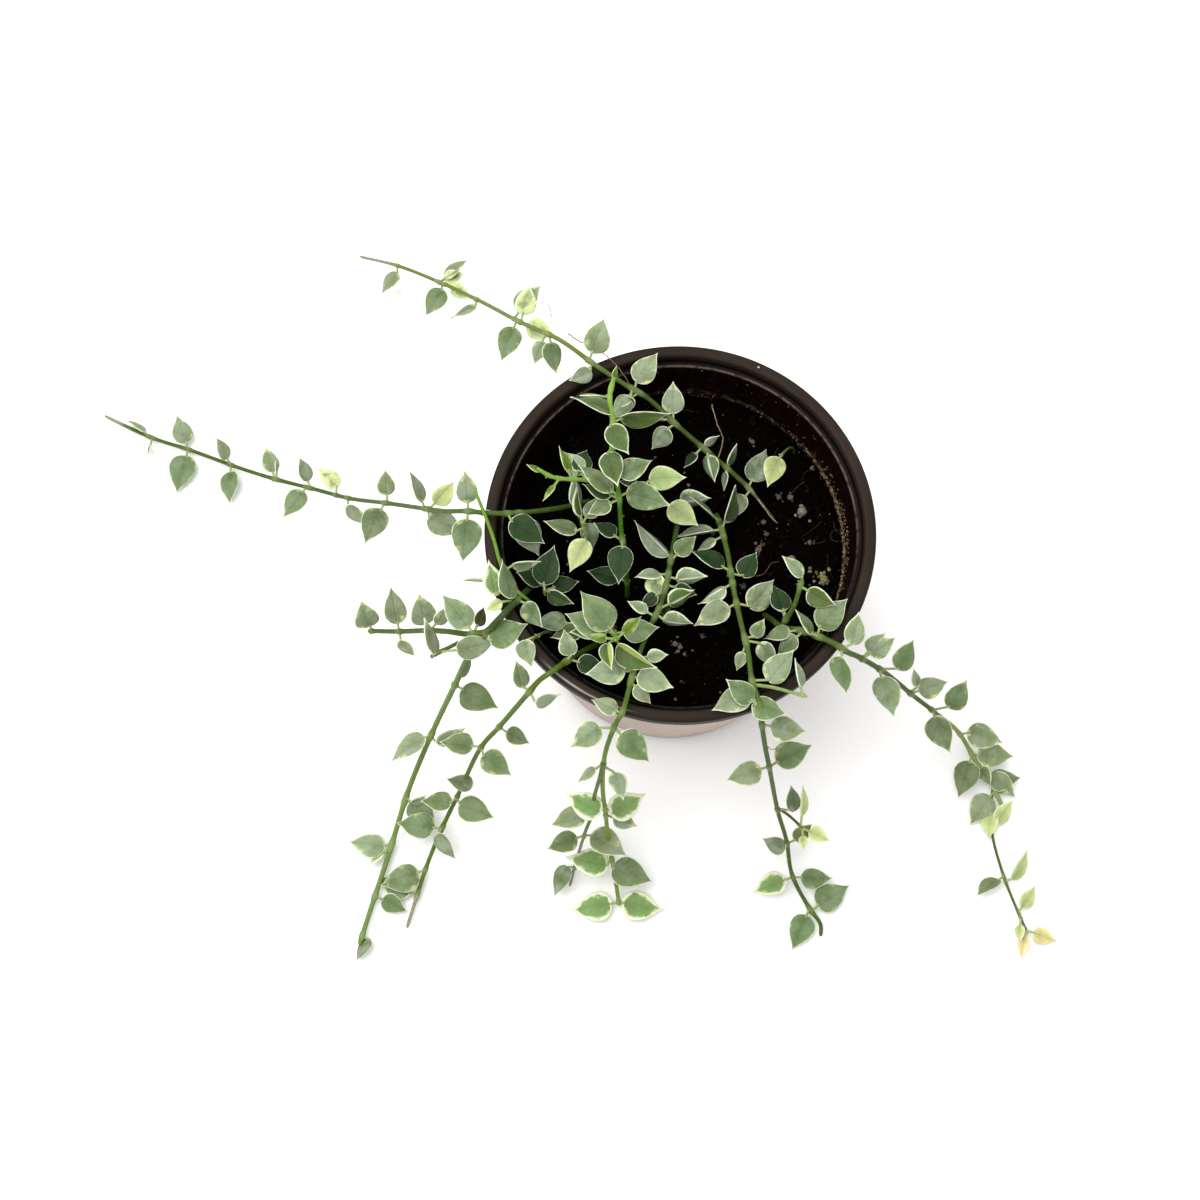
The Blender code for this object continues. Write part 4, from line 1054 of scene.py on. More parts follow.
def add_blade(growth, base, blade, length, tint, finish, shape, thickness):
    """A fleshy heart-shaped blade: upper and lower skins that meet in a rounded edge."""
    ahead, side, up = blade
    margin, patches, bloom = finish
    half = LEAF_RATIO * length / 2
    t, v = OUTLINE[:, :1], COLUMNS[None, :]
    w = OUTLINE[:, 1:] * half * shape["narrow"]
    forward = length * (t - 0.055 * (1 - t) ** 7 * v ** 2)
    fold = shape["cup"] * w * np.abs(v) ** 1.6
    droop = -shape["bend"] * length * t ** 2.2 + shape["hook"] * length * t ** 9
    wave = shape["wave"] * half * np.sin(3.4 * t + shape["turn"]) * v
    spread = w * v * (1 + shape["lean"] * np.sign(v)) + length * (shape["sweep"] * t ** 2)
    middle = (base + forward[..., None] * ahead + spread[..., None] * side
              + (fold + droop + wave)[..., None] * up)
    thick = thickness / 2 * np.sqrt(1 - v ** 2) * (OUTLINE[:, 1:] ** 0.45)
    middle[..., 2] = np.maximum(middle[..., 2], 0.25 + thick * 0.9)
    groove = 1 - 0.3 * np.exp(-(v / 0.12) ** 2)
    top = middle + (thick * groove)[..., None] * up
    bottom = middle[:, 1:-1] - (thick * 0.9)[:, 1:-1, None] * up
    tip = (base + ahead * length + up * ((shape["hook"] - shape["bend"]) * length)
           + side * (shape["sweep"] * length))
    tip[2] = max(tip[2], 0.3)
    rows, columns = top.shape[:2]
    inner = columns - 2
    points = np.vstack([top.reshape(-1, 3), bottom.reshape(-1, 3), tip[None]])
    lower = rows * columns

    def below(r, c):
        return r * columns + c if c in (0, columns - 1) else lower + r * inner + c - 1

    faces = []
    last = len(points) - 1
    for c in range(columns - 1):
        for r in range(rows - 1):
            a = r * columns + c
            faces.append((a, a + columns, a + columns + 1, a + 1))
            faces.append((below(r, c + 1), below(r + 1, c + 1), below(r + 1, c), below(r, c)))
        a = (rows - 1) * columns + c
        faces.append((a, last, a + 1))
        faces.append((below(rows - 1, c + 1), last, below(rows - 1, c)))
    faces.append(tuple(range(columns)) + tuple(below(0, c) for c in range(columns - 2, 0, -1)))
    rim = (1 - np.abs(v)) * w * (1 + shape["lean"] * np.sign(v))
    marks = np.stack([np.broadcast_to(t, rim.shape), np.broadcast_to(v, rim.shape), rim], -1)
    marks = np.vstack([marks.reshape(-1, 3), marks[:, 1:-1].reshape(-1, 3), [[1, 0, 0]]])
    under = np.r_[np.zeros(rows * columns), np.ones(rows * inner), 0.5]
    growth.add(points, faces, BLADE_SLOT, (*tint, margin), marks, (patches, bloom, shape["seed"]),
               under, shape["crease"])


def add_stalk(growth, joint, base, blade, colour):
    """A leaf stalk from inside the stem to the blade, arched a little."""
    t = np.linspace(0, 1, len(STALK_RADII))[:, None]
    line = joint + (base - joint) * t + np.array([0, 0, 0.25]) * np.sin(math.pi * t)
    line[-1] = base + blade[0] * 0.35
    growth.add(*tube(line, STALK_RADII, 8), STEM_SLOT, (*colour, 0))


def eased(stops, distance):
    """The value at a distance between stops of (distance, value or colour)."""
    at, values = zip(*stops)
    if isinstance(values[0], tuple):
        return np.array([np.interp(distance, at, channel) for channel in zip(*values)])
    return np.interp(distance, at, values)


def add_stem(growth, name, index, curve, run, settings):
    """A stem with a swelling and small root nubs at each leaf joint."""
    thick, total = run["thick"], curve[1][-1]
    count = max(4, int(total / (settings.stem_step / MM)))
    distances = np.linspace(0, total, count)
    joints = sorted({min(row[0], total - 1.0) for row in run["leaves"]})
    centres = [along(curve, d) for d in distances]
    radii, colours, dry = [], [], []
    young = YOUNG.get(name, 0.0)
    slim = SLIM.get(name, USUAL_SLIM)
    stem, new, joint_colour = (np.array(getattr(settings, key + "_colour"))
                               for key in ("stem", "young", "node"))
    for d in distances:
        radius = thick * (1 - TAPER * d / total) * slim
        near = max([math.exp(-((d - j) / SWELL_REACH) ** 2) for j in joints] or [0])
        radius *= 1 + SWELL * near
        radius *= 1 + 0.07 * noise.noise(Vector((d * 0.35, index * 7.0, len(name) * 1.0)))
        loss = eased(DRY_ENDS.get((name, index), [(0, 0.08)]), d)
        root = np.interp(d, *ROOT_START) if (name, index) == ("vine_back_left", 0) else 0.0
        thinned = radius * (1 - 0.25 * max(loss - 0.5, 0))
        radii.append(thinned * (1 - root) + ROOT_RADIUS * root)
        share = min(1.0, young * (0.35 + 0.8 * d / total))
        colour = stem * (1 - share) + new * share
        if (name, index) in STEM_TONES:
            colour = eased(STEM_TONES[name, index], d)
        colours.append(colour * (1 - 0.3 * near) + joint_colour * 0.3 * near)
        dry.append(loss)
    radii[-1] *= 0.72
    points, faces = tube(centres, radii, STEM_ROUND)
    ring = np.r_[np.repeat(np.arange(count), STEM_ROUND), 0, count - 1]
    blank = np.zeros(len(ring))
    growth.add(points, faces, STEM_SLOT, np.c_[np.array(colours)[ring], blank],
               finish=np.c_[np.array(dry)[ring], blank, blank])
    for number, joint in enumerate(joints):
        spin = 2.4 * number + 1.1 * index
        centre = along(curve, joint + 0.5)
        for turn in (0.0, 2.1):
            out = np.array([math.cos(spin + turn), math.sin(spin + turn), -0.35])
            at = centre + out * thick * 0.92
            if at[2] > 0.8:
                nub = lump(at, NUB_RADIUS, number + turn, 1.0, 4, 6)
                growth.add(*nub, STEM_SLOT, NUB_TINT, finish=(NUB_DRY, 0, 0))


def blade_shape(rng, tint, settings, crease):
    """How one blade departs from the plain outline: its fold, bends, lean, width and crease."""
    folded = {"pale": 0.12, "edge": 0.1, "cream": 0.05, "grey": -0.04}.get(tint, 0.0)
    shape = {
        "cup": max(-0.06, settings.cup + folded + rng.normal(0, 0.06)),
        "bend": rng.uniform(0.01, 0.13), "wave": rng.normal(0, 0.055), "turn": rng.uniform(0, 6.28),
        "seed": rng.uniform(0, 1), "lean": rng.normal(0, 0.07), "sweep": rng.normal(0, 0.035),
        "hook": rng.uniform(-0.02, 0.05), "narrow": rng.uniform(0.94, 1.03), "crease": crease}
    if tint == "bright":
        shape["narrow"], shape["cup"] = 0.66, 0.2
    if crease:
        shape["cup"] = -0.3 if crease > 0 else 0.45
    return shape


def build_growth(name, settings, looks):
    """One vine or shoot: its stems, stalks and blades as a single piece."""
    curves, poses = plant_layout()
    growth = Growth()
    order = list(VINES).index(name)
    joint_colour, new = np.array(settings.node_colour), np.array(settings.young_colour)
    for index, run in enumerate(VINES[name]):
        add_stem(growth, name, index, curves[name][index], run, settings)
        for number, (pose, row) in enumerate(poses[name][index]):
            joint, base, blade, length = pose
            kind = row[5]
            rng = np.random.default_rng([order, index, number])
            tint = np.array(getattr(settings, kind)) * rng.uniform(0.9, 1.12)
            tint = tint * (1 + rng.normal(0, 0.025, 3))
            # Painted shade darkens blades that sit low inside the rim.
            if math.hypot(base[0], base[1]) < LEDGE_RADIUS:
                tint = tint * np.interp(base[2], *SHADE_IN_POT)
            shape = blade_shape(rng, kind, settings, CREASED.get((name, row[0], kind), 0.0))
            add_blade(growth, base, blade, length, tint, FINISH[kind], shape,
                      settings.blade_thickness / MM)
            share = max(YOUNG.get(name, 0.0), YOUNG_TINTS.get(kind, 0.0))
            colour = joint_colour * (0.75 - 0.4 * share) + new * share * 0.4 + tint * 0.2
            add_stalk(growth, joint, base, blade, colour)
    return settled(growth.piece(name + "_growth", looks), name)


def stem_look():
    existing = bpy.data.materials.get("stem_skin")
    if existing:
        return existing
    settings = bpy.context.scene.dischidia_plant
    look = NodeLook("stem_skin", 0.46, 0.14)
    place = look.place()
    tint = look.attribute("tint")
    dry = look.split(look.attribute("finish").outputs["Vector"])[0]
    mottle = look.noise(520.0, 4.0, place)
    fine = look.noise(2600.0, 3.0, place)
    shade = look.plus(look.times(mottle, 0.5), 0.75)
    green = look.shaded(tint.outputs["Color"], shade)
    brown = look.mix(look.span(fine, 0.35, 0.65), scaled(settings.dry_colour, 0.55),
                     tuple(settings.dry_colour))
    dried = look.plus(dry, look.times(look.minus(mottle, 0.5), 0.7))
    body = look.mix(look.span(dried, 0.2, 0.75), green, brown)
    specks = look.times(look.span(look.cells(900.0, place)["Distance"], 0.1, 0.22, 1.0, 0.0),
                        look.span(look.noise(300.0, 2.0, place), 0.5, 0.62))
    look.colour(look.mix(look.times(specks, 0.6), body, (0.42, 0.40, 0.24)))
    look.rough(look.span(mottle, 0.3, 0.7, 0.38, 0.6))
    look.bump(look.plus(fine, look.times(mottle, 1.5)), 0.00016, 0.7)
    return look.material


def blade_look():
    existing = bpy.data.materials.get("blade_skin")
    if existing:
        return existing
    settings = bpy.context.scene.dischidia_plant
    look = NodeLook("blade_skin", 0.42, 0.12)
    tint = look.attribute("tint")
    margin = tint.outputs["Alpha"]
    length, across, rim = look.split(look.attribute("blade").outputs["Vector"])
    patches, bloom, seed = look.split(look.attribute("finish").outputs["Vector"])
    under = look.attribute("under").outputs["Fac"]
    x, y, z = look.split(look.place())
    place = look.join(look.plus(x, seed), y, z)
    mottle = look.noise(380.0, 4.0, place)
    cloud = look.noise(170.0, 2.0, place)
    fine = look.noise(2400.0, 3.0, place)
    from_midrib = look.math("ABSOLUTE", across)

    # Painted shade at the foot and along the midrib, and painted highlight towards the rim and the
    # tip.
    shade = look.plus(look.times(mottle, 0.62), 0.69)
    painted_light_gradient = look.plus(look.span(from_midrib, 0.1, 1.0, 0.88, 1.16),
                     look.span(length, 0.0, 0.9, -0.13, 0.12))
    shade = look.times(shade, painted_light_gradient)
    shade = look.times(shade, look.plus(look.times(fine, 0.18), 0.91))
    body = look.shaded(tint.outputs["Color"], shade)
    waxy = look.times(bloom, look.span(cloud, 0.34, 0.66, 0.15, 0.85))
    waxy = look.times(waxy, look.span(from_midrib, 0.35, 1.0, 1.0, 0.55))
    body = look.mix(waxy, body, tuple(settings.bloom_colour))

    # Side veins run forward from the midrib, and the midrib sinks a little.
    slant = look.minus(look.times(length, 34.0), look.times(from_midrib, 11.0))
    slant = look.plus(slant, look.times(mottle, 2.2))
    veins = look.span(look.math("SINE", slant), 0.86, 1.0)
    midrib = look.span(from_midrib, 0.01, 0.13, 1.0, 0.0)
    midrib = look.times(midrib, look.span(length, 0.55, 0.95, 1.0, 0.0))
    ribs = look.plus(look.times(veins, 0.10), look.times(midrib, 0.10))
    body = look.mix(ribs, body, look.mix(1.0, body, (0.55, 0.68, 0.42), "MULTIPLY"))

    # Creased blades get a painted highlight along the ridge, or one half that is paler
    # yellow-green.
    crease = look.attribute("crease").outputs["Fac"]
    # Painted highlight along the ridge of blades folded downwards.
    painted_ridge_highlight = look.times(look.span(from_midrib, 0.05, 0.2, 1.0, 0.0), look.span(crease, 0.0, 1.0))
    body = look.mix(look.times(painted_ridge_highlight, 0.8), body, tuple(settings.margin_colour))
    young = look.times(look.span(across, -0.04, 0.1), look.span(crease, 0.0, -1.0))
    body = look.mix(look.times(young, 0.85), body, (0.42, 0.50, 0.13))

    # Cream patches creep in from the rim.
    creep = look.minus(look.noise(300.0, 3.0, place), look.times(rim, 0.085))
    creep = look.plus(creep, look.times(patches, 0.42))
    creep = look.plus(creep, look.times(look.span(length, 0.35, 0.0), 0.05))
    cream = look.times(look.span(creep, 0.53, 0.74), look.span(patches, 0.02, 0.2))
    body = look.mix(look.times(cream, 0.82), body, tuple(settings.patch_colour))

    # The pale margin varies in width, and closes in at the tip.
    width = look.times(margin, look.span(mottle, 0.3, 0.7, 0.6, 1.5))
    share = look.math("DIVIDE", rim, look.math("MAXIMUM", width, 0.01))
    edge = look.span(share, 0.5, 1.25, 1.0, 0.0)
    body = look.mix(look.times(edge, 0.9), body, tuple(settings.margin_colour))

    below = look.mix(0.45, body, (0.30, 0.36, 0.20))
    look.colour(look.mix(under, body, below))
    look.rough(look.span(mottle, 0.3, 0.7, 0.36, 0.56))
    height = look.minus(look.times(fine, 0.5), look.times(midrib, 0.9))
    height = look.minus(height, look.times(veins, 0.45))
    height = look.plus(height, look.times(mottle, 0.9))
    look.bump(height, 0.00022, 0.75)
    return look.material


# Where the pot's finish changes, in metres. A pair is where one finish starts and where it's full;
# two pairs are where a band comes in and where it goes out.
LIP_SIDE = (0.1088, 0.1062)
STEP_TOP = (0.1052, 0.1062)
STEP_BAND = ((0.1048, 0.1052), (0.1058, 0.1064))
STEP_EDGE = (0.0579, 0.0584)
# Where the painted glint on the lip lies: its ring, and the way it faces.
LIP_GLINT_RING = ((0.0616, 0.0619), (0.0621, 0.0626))
LIP_GLINT_WAY = (-0.5, -0.866)
SOIL_EDGE = (0.080, 0.083)
FOOT_SHADOW_HEIGHTS = (0.0018, 0.0034)
SCUFF_AND_REFLECTION, LIP_GLINT, STEP_HIGHLIGHT = (0.075, 0.058, 0.045), (0.34, 0.31, 0.28), (0.085, 0.066, 0.050)
PAINTED_LIP_SIDE_SHADE, PAINTED_STEP_SHADE = (0.0032, 0.0020, 0.0009), (0.0012, 0.0008, 0.0006)
WALL_STREAK, WALL_SPOT = (0.010, 0.0038, 0.0022), (0.24, 0.18, 0.145)
FOOT_SHADOW = (0.070, 0.020, 0.016)


def scaled(shade, by):
    """A colour times one number, or times three."""
    by = by if isinstance(by, tuple) else (by,) * 3
    return tuple(c * f for c, f in zip(shade, by))


def pot_look():
    settings = bpy.context.scene.dischidia_pot
    look = NodeLook("pot_moulded", 0.5, 0.05)
    place = look.place()
    x, y, z = look.split(place)
    skin = look.attribute("skin").outputs["Fac"]
    radius = look.math("SQRT", look.plus(look.times(x, x), look.times(y, y)))
    ways = [look.math("DIVIDE", axis, look.math("MAXIMUM", radius, 0.001)) for axis in (x, y)]
    grain, cloud, spots = (look.noise(scale, 4.0, place) for scale in (1500.0, 70.0, 420.0))

    def drawn_out(detail, round_it, run):
        """Noise stretched round the pot or up its wall."""
        return look.noise(1.0, detail, look.join(*(look.times(w, round_it) for w in ways), run))

    # Fine pale arcs run round the lip and the step: scratches in the bump, and partly painted
    # reflection in the colour.
    arcs = drawn_out(3.0, 3.0, look.times(look.plus(radius, z), 2600.0))
    scuffs_and_reflections = look.times(look.span(arcs, 0.58, 0.74), look.span(cloud, 0.42, 0.62))
    rim = look.mix(look.span(cloud, 0.3, 0.7), tuple(settings.rim_colour),
                   scaled(settings.rim_colour, 1.35))
    rim = look.mix(look.times(scuffs_and_reflections, 0.3), rim, SCUFF_AND_REFLECTION)
    # Painted shade darkens the lip's outer side below its top.
    rim = look.mix(look.span(z, *LIP_SIDE, 0.0, 0.92), rim, PAINTED_LIP_SIDE_SHADE)

    # A painted highlight: a short pale glint along the lip at the front left.
    facing = look.plus(look.times(ways[0], LIP_GLINT_WAY[0]), look.times(ways[1], LIP_GLINT_WAY[1]))
    lip_glint = look.times(look.band(radius, *LIP_GLINT_RING), look.span(facing, 0.955, 0.99))
    lip_glint = look.times(lip_glint, look.span(arcs, 0.42, 0.56, 0.1, 0.8))
    rim = look.mix(lip_glint, rim, LIP_GLINT)
    # The inner wall's dark brown is partly painted shade inside the pot; faint upright streaks run
    # over it.
    streaks = drawn_out(4.0, 26.0, look.times(z, 60.0))
    wall = look.mix(look.span(streaks, 0.5, 0.72), tuple(settings.inside_colour), WALL_STREAK)
    inside = look.mix(look.span(z, *STEP_TOP), wall, rim)

    # The step is painted near black for the shade in its recess, with a painted highlight along its
    # inner edge.
    step = look.band(z, *STEP_BAND)
    inside = look.mix(step, inside, PAINTED_STEP_SHADE)
    # Painted highlight along the step's inner edge, stronger towards +Y.
    step_highlight = look.times(step, look.span(radius, *STEP_EDGE, 1.0, 0.0))
    step_highlight = look.times(step_highlight, look.span(spots, 0.35, 0.55, 0.3, 1.0))
    inside = look.mix(look.times(step_highlight, look.span(ways[1], -0.3, 0.3, 0.2, 1.0)), inside, STEP_HIGHLIGHT)

    # A dried line above the soil, thick on the +X side and thin towards +Y.
    side = look.plus(look.span(ways[0], 0.55, 1.0, 0.0, 0.75),
                     look.span(ways[1], -0.2, 0.9, 0.0, 0.3))
    side = look.times(side, look.span(ways[0], -0.35, 0.15))
    level = look.plus(z, look.times(look.minus(cloud, 0.5), 0.006))
    height = look.math("ABSOLUTE", look.minus(level, settings.dirt_height))
    line = look.times(look.span(height, 0.0005, 0.0019, 1.0, 0.0), look.span(spots, 0.38, 0.6))
    splash = look.times(look.span(height, 0.001, 0.009, 1.0, 0.0), look.span(spots, 0.56, 0.68))
    dirt = look.times(look.plus(line, look.times(splash, 0.4)), side, True)
    dirt = look.times(dirt, look.span(z, *SOIL_EDGE))
    inside = look.mix(dirt, inside, tuple(settings.dirt_colour))

    # The outer wall: pale taupe, with faint upright water marks and spots, and a red-brown painted
    # contact shadow at its foot.
    rain = drawn_out(3.0, 9.0, look.times(z, 16.0))
    outer = look.mix(look.span(rain, 0.35, 0.68), tuple(settings.outside_colour),
                     scaled(settings.outside_colour, (0.93, 0.91, 0.89)))
    outer = look.mix(look.times(look.span(spots, 0.62, 0.74), 0.35), outer, WALL_SPOT)
    # Painted contact shadow along the foot of the outer wall.
    foot = look.plus(z, look.times(look.minus(spots, 0.5), 0.002))
    outer = look.mix(look.span(foot, *FOOT_SHADOW_HEIGHTS, 0.95, 0.0), outer, FOOT_SHADOW)
    look.colour(look.mix(skin, inside, outer))
    rough = look.plus(look.span(grain, 0.3, 0.7, 0.34, 0.5), look.times(dirt, 0.4))
    look.rough(look.plus(rough, look.times(skin, 0.15), True))
    height = look.plus(look.times(grain, 0.5), look.times(dirt, 2.0))
    look.bump(look.minus(height, look.times(scuffs_and_reflections, 0.8)), 0.00016, 0.8)
    return look.material


def soil_look():
    settings = bpy.context.scene.dischidia_soil
    look = NodeLook("soil_peat", 0.95, 0.0)
    place = look.place()
    grain = look.noise(900.0, 5.0, place, 0.65)
    lumps = look.noise(260.0, 4.0, place)
    cells = look.cells(620.0, place)
    dark = tuple(settings.soil_colour)
    body = look.mix(look.span(grain, 0.35, 0.7), dark, scaled(dark, (2.6, 2.3, 2.0)))
    body = look.mix(look.span(lumps, 0.55, 0.75, 0.0, 0.5), body, (0.0055, 0.0036, 0.0024))
    chips = look.times(look.span(cells["Distance"], 0.12, 0.26, 1.0, 0.0),
                       look.span(look.split(cells["Color"])[0], 0.965, 0.985))
    look.colour(look.mix(chips, body, scaled(settings.crumb_colour, 0.4)))
    look.rough(look.span(grain, 0.3, 0.7, 0.85, 1.0))
    look.bump(look.plus(look.times(grain, 0.8), lumps), 0.0012, 0.8)
    return look.material


def crumb_look():
    look = NodeLook("soil_crumb", 0.9, 0.02)
    place = look.place()
    grain = look.noise(2200.0, 4.0, place)
    tint = look.attribute("tint").outputs["Color"]
    look.colour(look.shaded(tint, look.span(grain, 0.3, 0.7, 0.55, 1.35)))
    look.rough(look.span(grain, 0.3, 0.7, 0.78, 1.0))
    look.bump(grain, 0.0003, 0.8)
    return look.material


def floor_look():
    settings = bpy.context.scene.dischidia_stage
    look = NodeLook("floor_paper", 0.85, 0.2)
    fibre = look.noise(900.0, 3.0, look.place())
    look.colour(look.mix(look.span(fibre, 0.3, 0.7), tuple(settings.floor_colour),
                         scaled(settings.floor_colour, 0.985)))
    look.rough(look.span(fibre, 0.3, 0.7, 0.8, 0.9))
    return look.material


class DISCHIDIA_OT_add_pot(bpy.types.Operator):
    """Turn the pot's wall, round its edges and cut the drain holes"""

    bl_idname = "dischidia.add_pot"
    bl_label = "Add Pot"

    def execute(self, context):
        settings = context.scene.dischidia_pot
        profile = spaced(rounded(pot_profile(), settings.corner_radius / MM), PROFILE_STEP)
        base = settings.base_radius / MM
        wide = (settings.rim_radius - settings.base_radius) / MM / (RIM_RADIUS - BASE_RADIUS)
        tall = settings.height / MM / POT_HEIGHT
        profile = [(base + (r - BASE_RADIUS) * wide if r > FLAT_RADIUS else r, z * tall)
                   for r, z in profile]
        points, faces = turned(profile, settings.sides)
        outer = [i for i, (r, z) in enumerate(profile) if z > 0.9 * POT_HEIGHT][0]
        skin = [1.0, 0.0]
        for i, (_, z) in enumerate(profile[1:-1]):
            skin += [1.0 if i < outer and z < LIP_FOOT else 0.0] * settings.sides
        pot = add_piece("pot_shell", points, faces, [pot_look()], [("skin", "FLOAT", skin)])
        self.cut_drains(context, pot)
        settled(pot, "pot")
        return {"FINISHED"}

    def cut_drains(self, context, pot):
        points, faces = [], []
        cylinder = [(0, -2.0), (DRAIN_RADIUS, -2.0), (DRAIN_RADIUS, 5.0), (0, 5.0)]
        for k in range(DRAIN_HOLES):
            a = 2 * math.pi * k / DRAIN_HOLES
            hole, hole_faces = turned(cylinder, 32)
            faces += [tuple(i + len(points) for i in face) for face in hole_faces]
            points += list(hole + [DRAIN_RING * math.cos(a), DRAIN_RING * math.sin(a), 0])
        cutter = add_piece("drain_cutter", points, faces, [], smooth_faces=False)
        step = pot.modifiers.new("Drain Holes", "BOOLEAN")
        step.operation, step.solver, step.object = "DIFFERENCE", "EXACT", cutter
        bpy.context.view_layer.update()
        cut = bpy.data.meshes.new_from_object(pot.evaluated_get(context.evaluated_depsgraph_get()))
        pot.modifiers.clear()
        pot.data = cut
        bpy.data.objects.remove(cutter)
        cut.shade_smooth()
        cut.set_sharp_from_angle(angle=math.radians(CRISP_ANGLE))


class DISCHIDIA_OT_add_soil(bpy.types.Operator):
    """Fill the pot with soil and scatter crumbs, moss and dried residue over it"""

    bl_idname = "dischidia.add_soil"
    bl_label = "Add Soil"

    def execute(self, context):
        settings = context.scene.dischidia_soil
        top = inner_radius(SOIL_TOP) - SOIL_GAP
        self.add_bed(settings, top)
        self.add_crumbs(settings, top)
        return {"FINISHED"}

    def surface(self, x, y, settings):
        """Height of the soil at a place, in millimetres."""
        big, small, fine = (noise.noise(Vector((x * scale, y * scale, layer)))
                            for scale, layer in ((0.075, 3.1), (0.33, 8.7), (1.1, 1.9)))
        lift = settings.lump_height / MM
        edge = -0.6 * max(0.0, (math.hypot(x, y) - 50) / 5) ** 2
        return SOIL_TOP - 0.4 + lift * (0.6 * big + 0.55 * small + 0.3 * fine) + edge

    def add_bed(self, settings, top):
        sides, rings = 168, 56
        points = [(0.0, 0.0, self.surface(0, 0, settings))]
        foot = [(inner_radius(50) - SOIL_GAP, 50.0),
                (inner_radius(FLOOR + 3.0) - SOIL_GAP, FLOOR + 3.0),
                (INNER_BASE_RADIUS - 1.0, FLOOR + SOIL_GAP)]
        levels = [(top * (i / rings), None, i % 2) for i in range(1, rings + 1)]
        for r, z, shift in levels + [(r, z, rings % 2) for r, z in foot]:
            for k in range(sides):
                a = 2 * math.pi * (k + 0.5 * shift) / sides
                x, y = r * math.cos(a), r * math.sin(a)
                points.append((x, y, self.surface(x, y, settings) if z is None else z))
        points.append((0.0, 0.0, FLOOR + SOIL_GAP))
        faces = ring_faces(rings + len(foot), sides)
        settled(add_piece("soil_bed", points, faces, [soil_look()]), "soil")

    def add_crumbs(self, settings, top):
        rng = np.random.default_rng(CRUMB_SEED)
        growth = Growth()
        dark, pale = np.array(settings.soil_colour), np.array(settings.crumb_colour)

        def drop(x, y, radius, shade, sink=0.25):
            z = self.surface(x, y, settings) + radius * (CRUMB_SQUASH - sink)
            growth.add_lump((x, y, z), radius, rng.uniform(0, 60), CRUMB_SQUASH, shade)

        for _ in range(settings.crumb_count):
            r, a = (top - 1.2) * math.sqrt(rng.uniform(0, 1)), rng.uniform(0, 2 * math.pi)
            radius = settings.crumb_size / MM * math.exp(rng.normal(0, 0.42))
            share = rng.uniform(0.2, 0.8) if rng.uniform() < PALE_CRUMBS else rng.uniform(0, 0.018)
            if share > 0.2:
                radius *= 0.75
            drop(r * math.cos(a), r * math.sin(a), radius, dark * 1.6 * (1 - share) + pale * share)
        for x, y, radius, share in KEY_CRUMBS:
            drop(x, y, radius, dark * (1 - share) + pale * share, 0.15)
            for _ in range(BITS_ROUND_CRUMB):
                drop(x + rng.normal(0, radius * 0.8), y + rng.normal(0, radius * 0.8),
                     radius * rng.uniform(0.3, 0.6),
                     dark * (1 - share) + pale * share * rng.uniform(0.5, 1.1))
        for _ in range(MOSS_BITS):
            x, y = MOSS_CLUMP[0] + rng.normal(0, 1.7), MOSS_CLUMP[1] + rng.normal(0, 1.4)
            if math.hypot(x, y) < top - 0.8:
                mixed = np.array(settings.moss_colour) * rng.uniform(0.45, 1.2)
                drop(x, y, rng.uniform(0.35, 0.85), mixed, -0.3)
        self.add_residue(growth, rng)
        self.add_fibres(growth, rng)
        growth.add_lump(WHITE_SPECK, 0.4, 5.0, 0.5, (0.6, 0.6, 0.58))
        settled(growth.piece("soil_crumbs", [crumb_look()]), None)

    def add_residue(self, growth, rng):
        """Dried crumbs that cling to the inner wall, most of them on the +X side."""
        for number in range(HEAPED + LINED + SPLASHED):
            heaped, splashed = number < HEAPED, number >= HEAPED + LINED
            a = math.radians(rng.normal(6, 17) if heaped else rng.uniform(-30, 118))
            z = 86.9 + rng.normal(0, 0.75 if heaped else 0.5) + (0.7 * math.sin(3 * a))
            if splashed:
                a, z = math.radians(rng.normal(8, 10)), rng.uniform(87.5, 94.5)
            radius = rng.uniform(0.16, 0.5 if heaped else 0.3)
            shade = np.array(RESIDUE) * rng.uniform(0.25, 1.4)
            growth.add_lump(on_wall(a, z, radius * 0.25), radius, rng.uniform(0, 60), 0.8, shade)
        for _ in range(WALL_SPECKS):
            a, z = math.radians(rng.uniform(30, 120)), rng.uniform(90, 104)
            growth.add_lump(on_wall(a, z, 0.05), rng.uniform(0.15, 0.4), rng.uniform(0, 60), 0.7,
                            np.array(SPECK) * rng.uniform(0.3, 1.3))

    def add_fibres(self, growth, rng):
        """Fine dried roots that wander over the edge of the soil."""
        for number in range(FIBRES):
            by_heap = number < FIBRES_BY_HEAP
            a = math.radians(rng.normal(12, 26) if by_heap else rng.uniform(30, 115))
            r = inner_radius(86) - rng.uniform(0.8, 7.0)
            way, bend = rng.uniform(0, 2 * math.pi), rng.normal(0, 0.16)
            x, y, z = r * math.cos(a), r * math.sin(a), SOIL_TOP + rng.uniform(0.3, 1.5)
            line = []
            for _ in range(rng.integers(6, 12)):
                line.append((x, y, z))
                way += bend + rng.normal(0, 0.12)
                x, y = x + 0.95 * math.cos(way), y + 0.95 * math.sin(way)
                z = max(SOIL_TOP + 0.2, z + rng.normal(0, 0.25))
                reach, most = math.hypot(x, y), inner_radius(z) - 0.4
                if reach > most:
                    x, y = x * most / reach, y * most / reach
            growth.add(*tube(line, np.linspace(0.1, 0.05, len(line)), 5), STEM_SLOT,
                       (*(np.array(FIBRE) * rng.uniform(0.3, 1.3)), 0))


def on_wall(angle, height, depth):
    """A place on the pot's inner wall, sunk out of it by the depth."""
    r = inner_radius(height) - depth
    return r * math.cos(angle), r * math.sin(angle), height


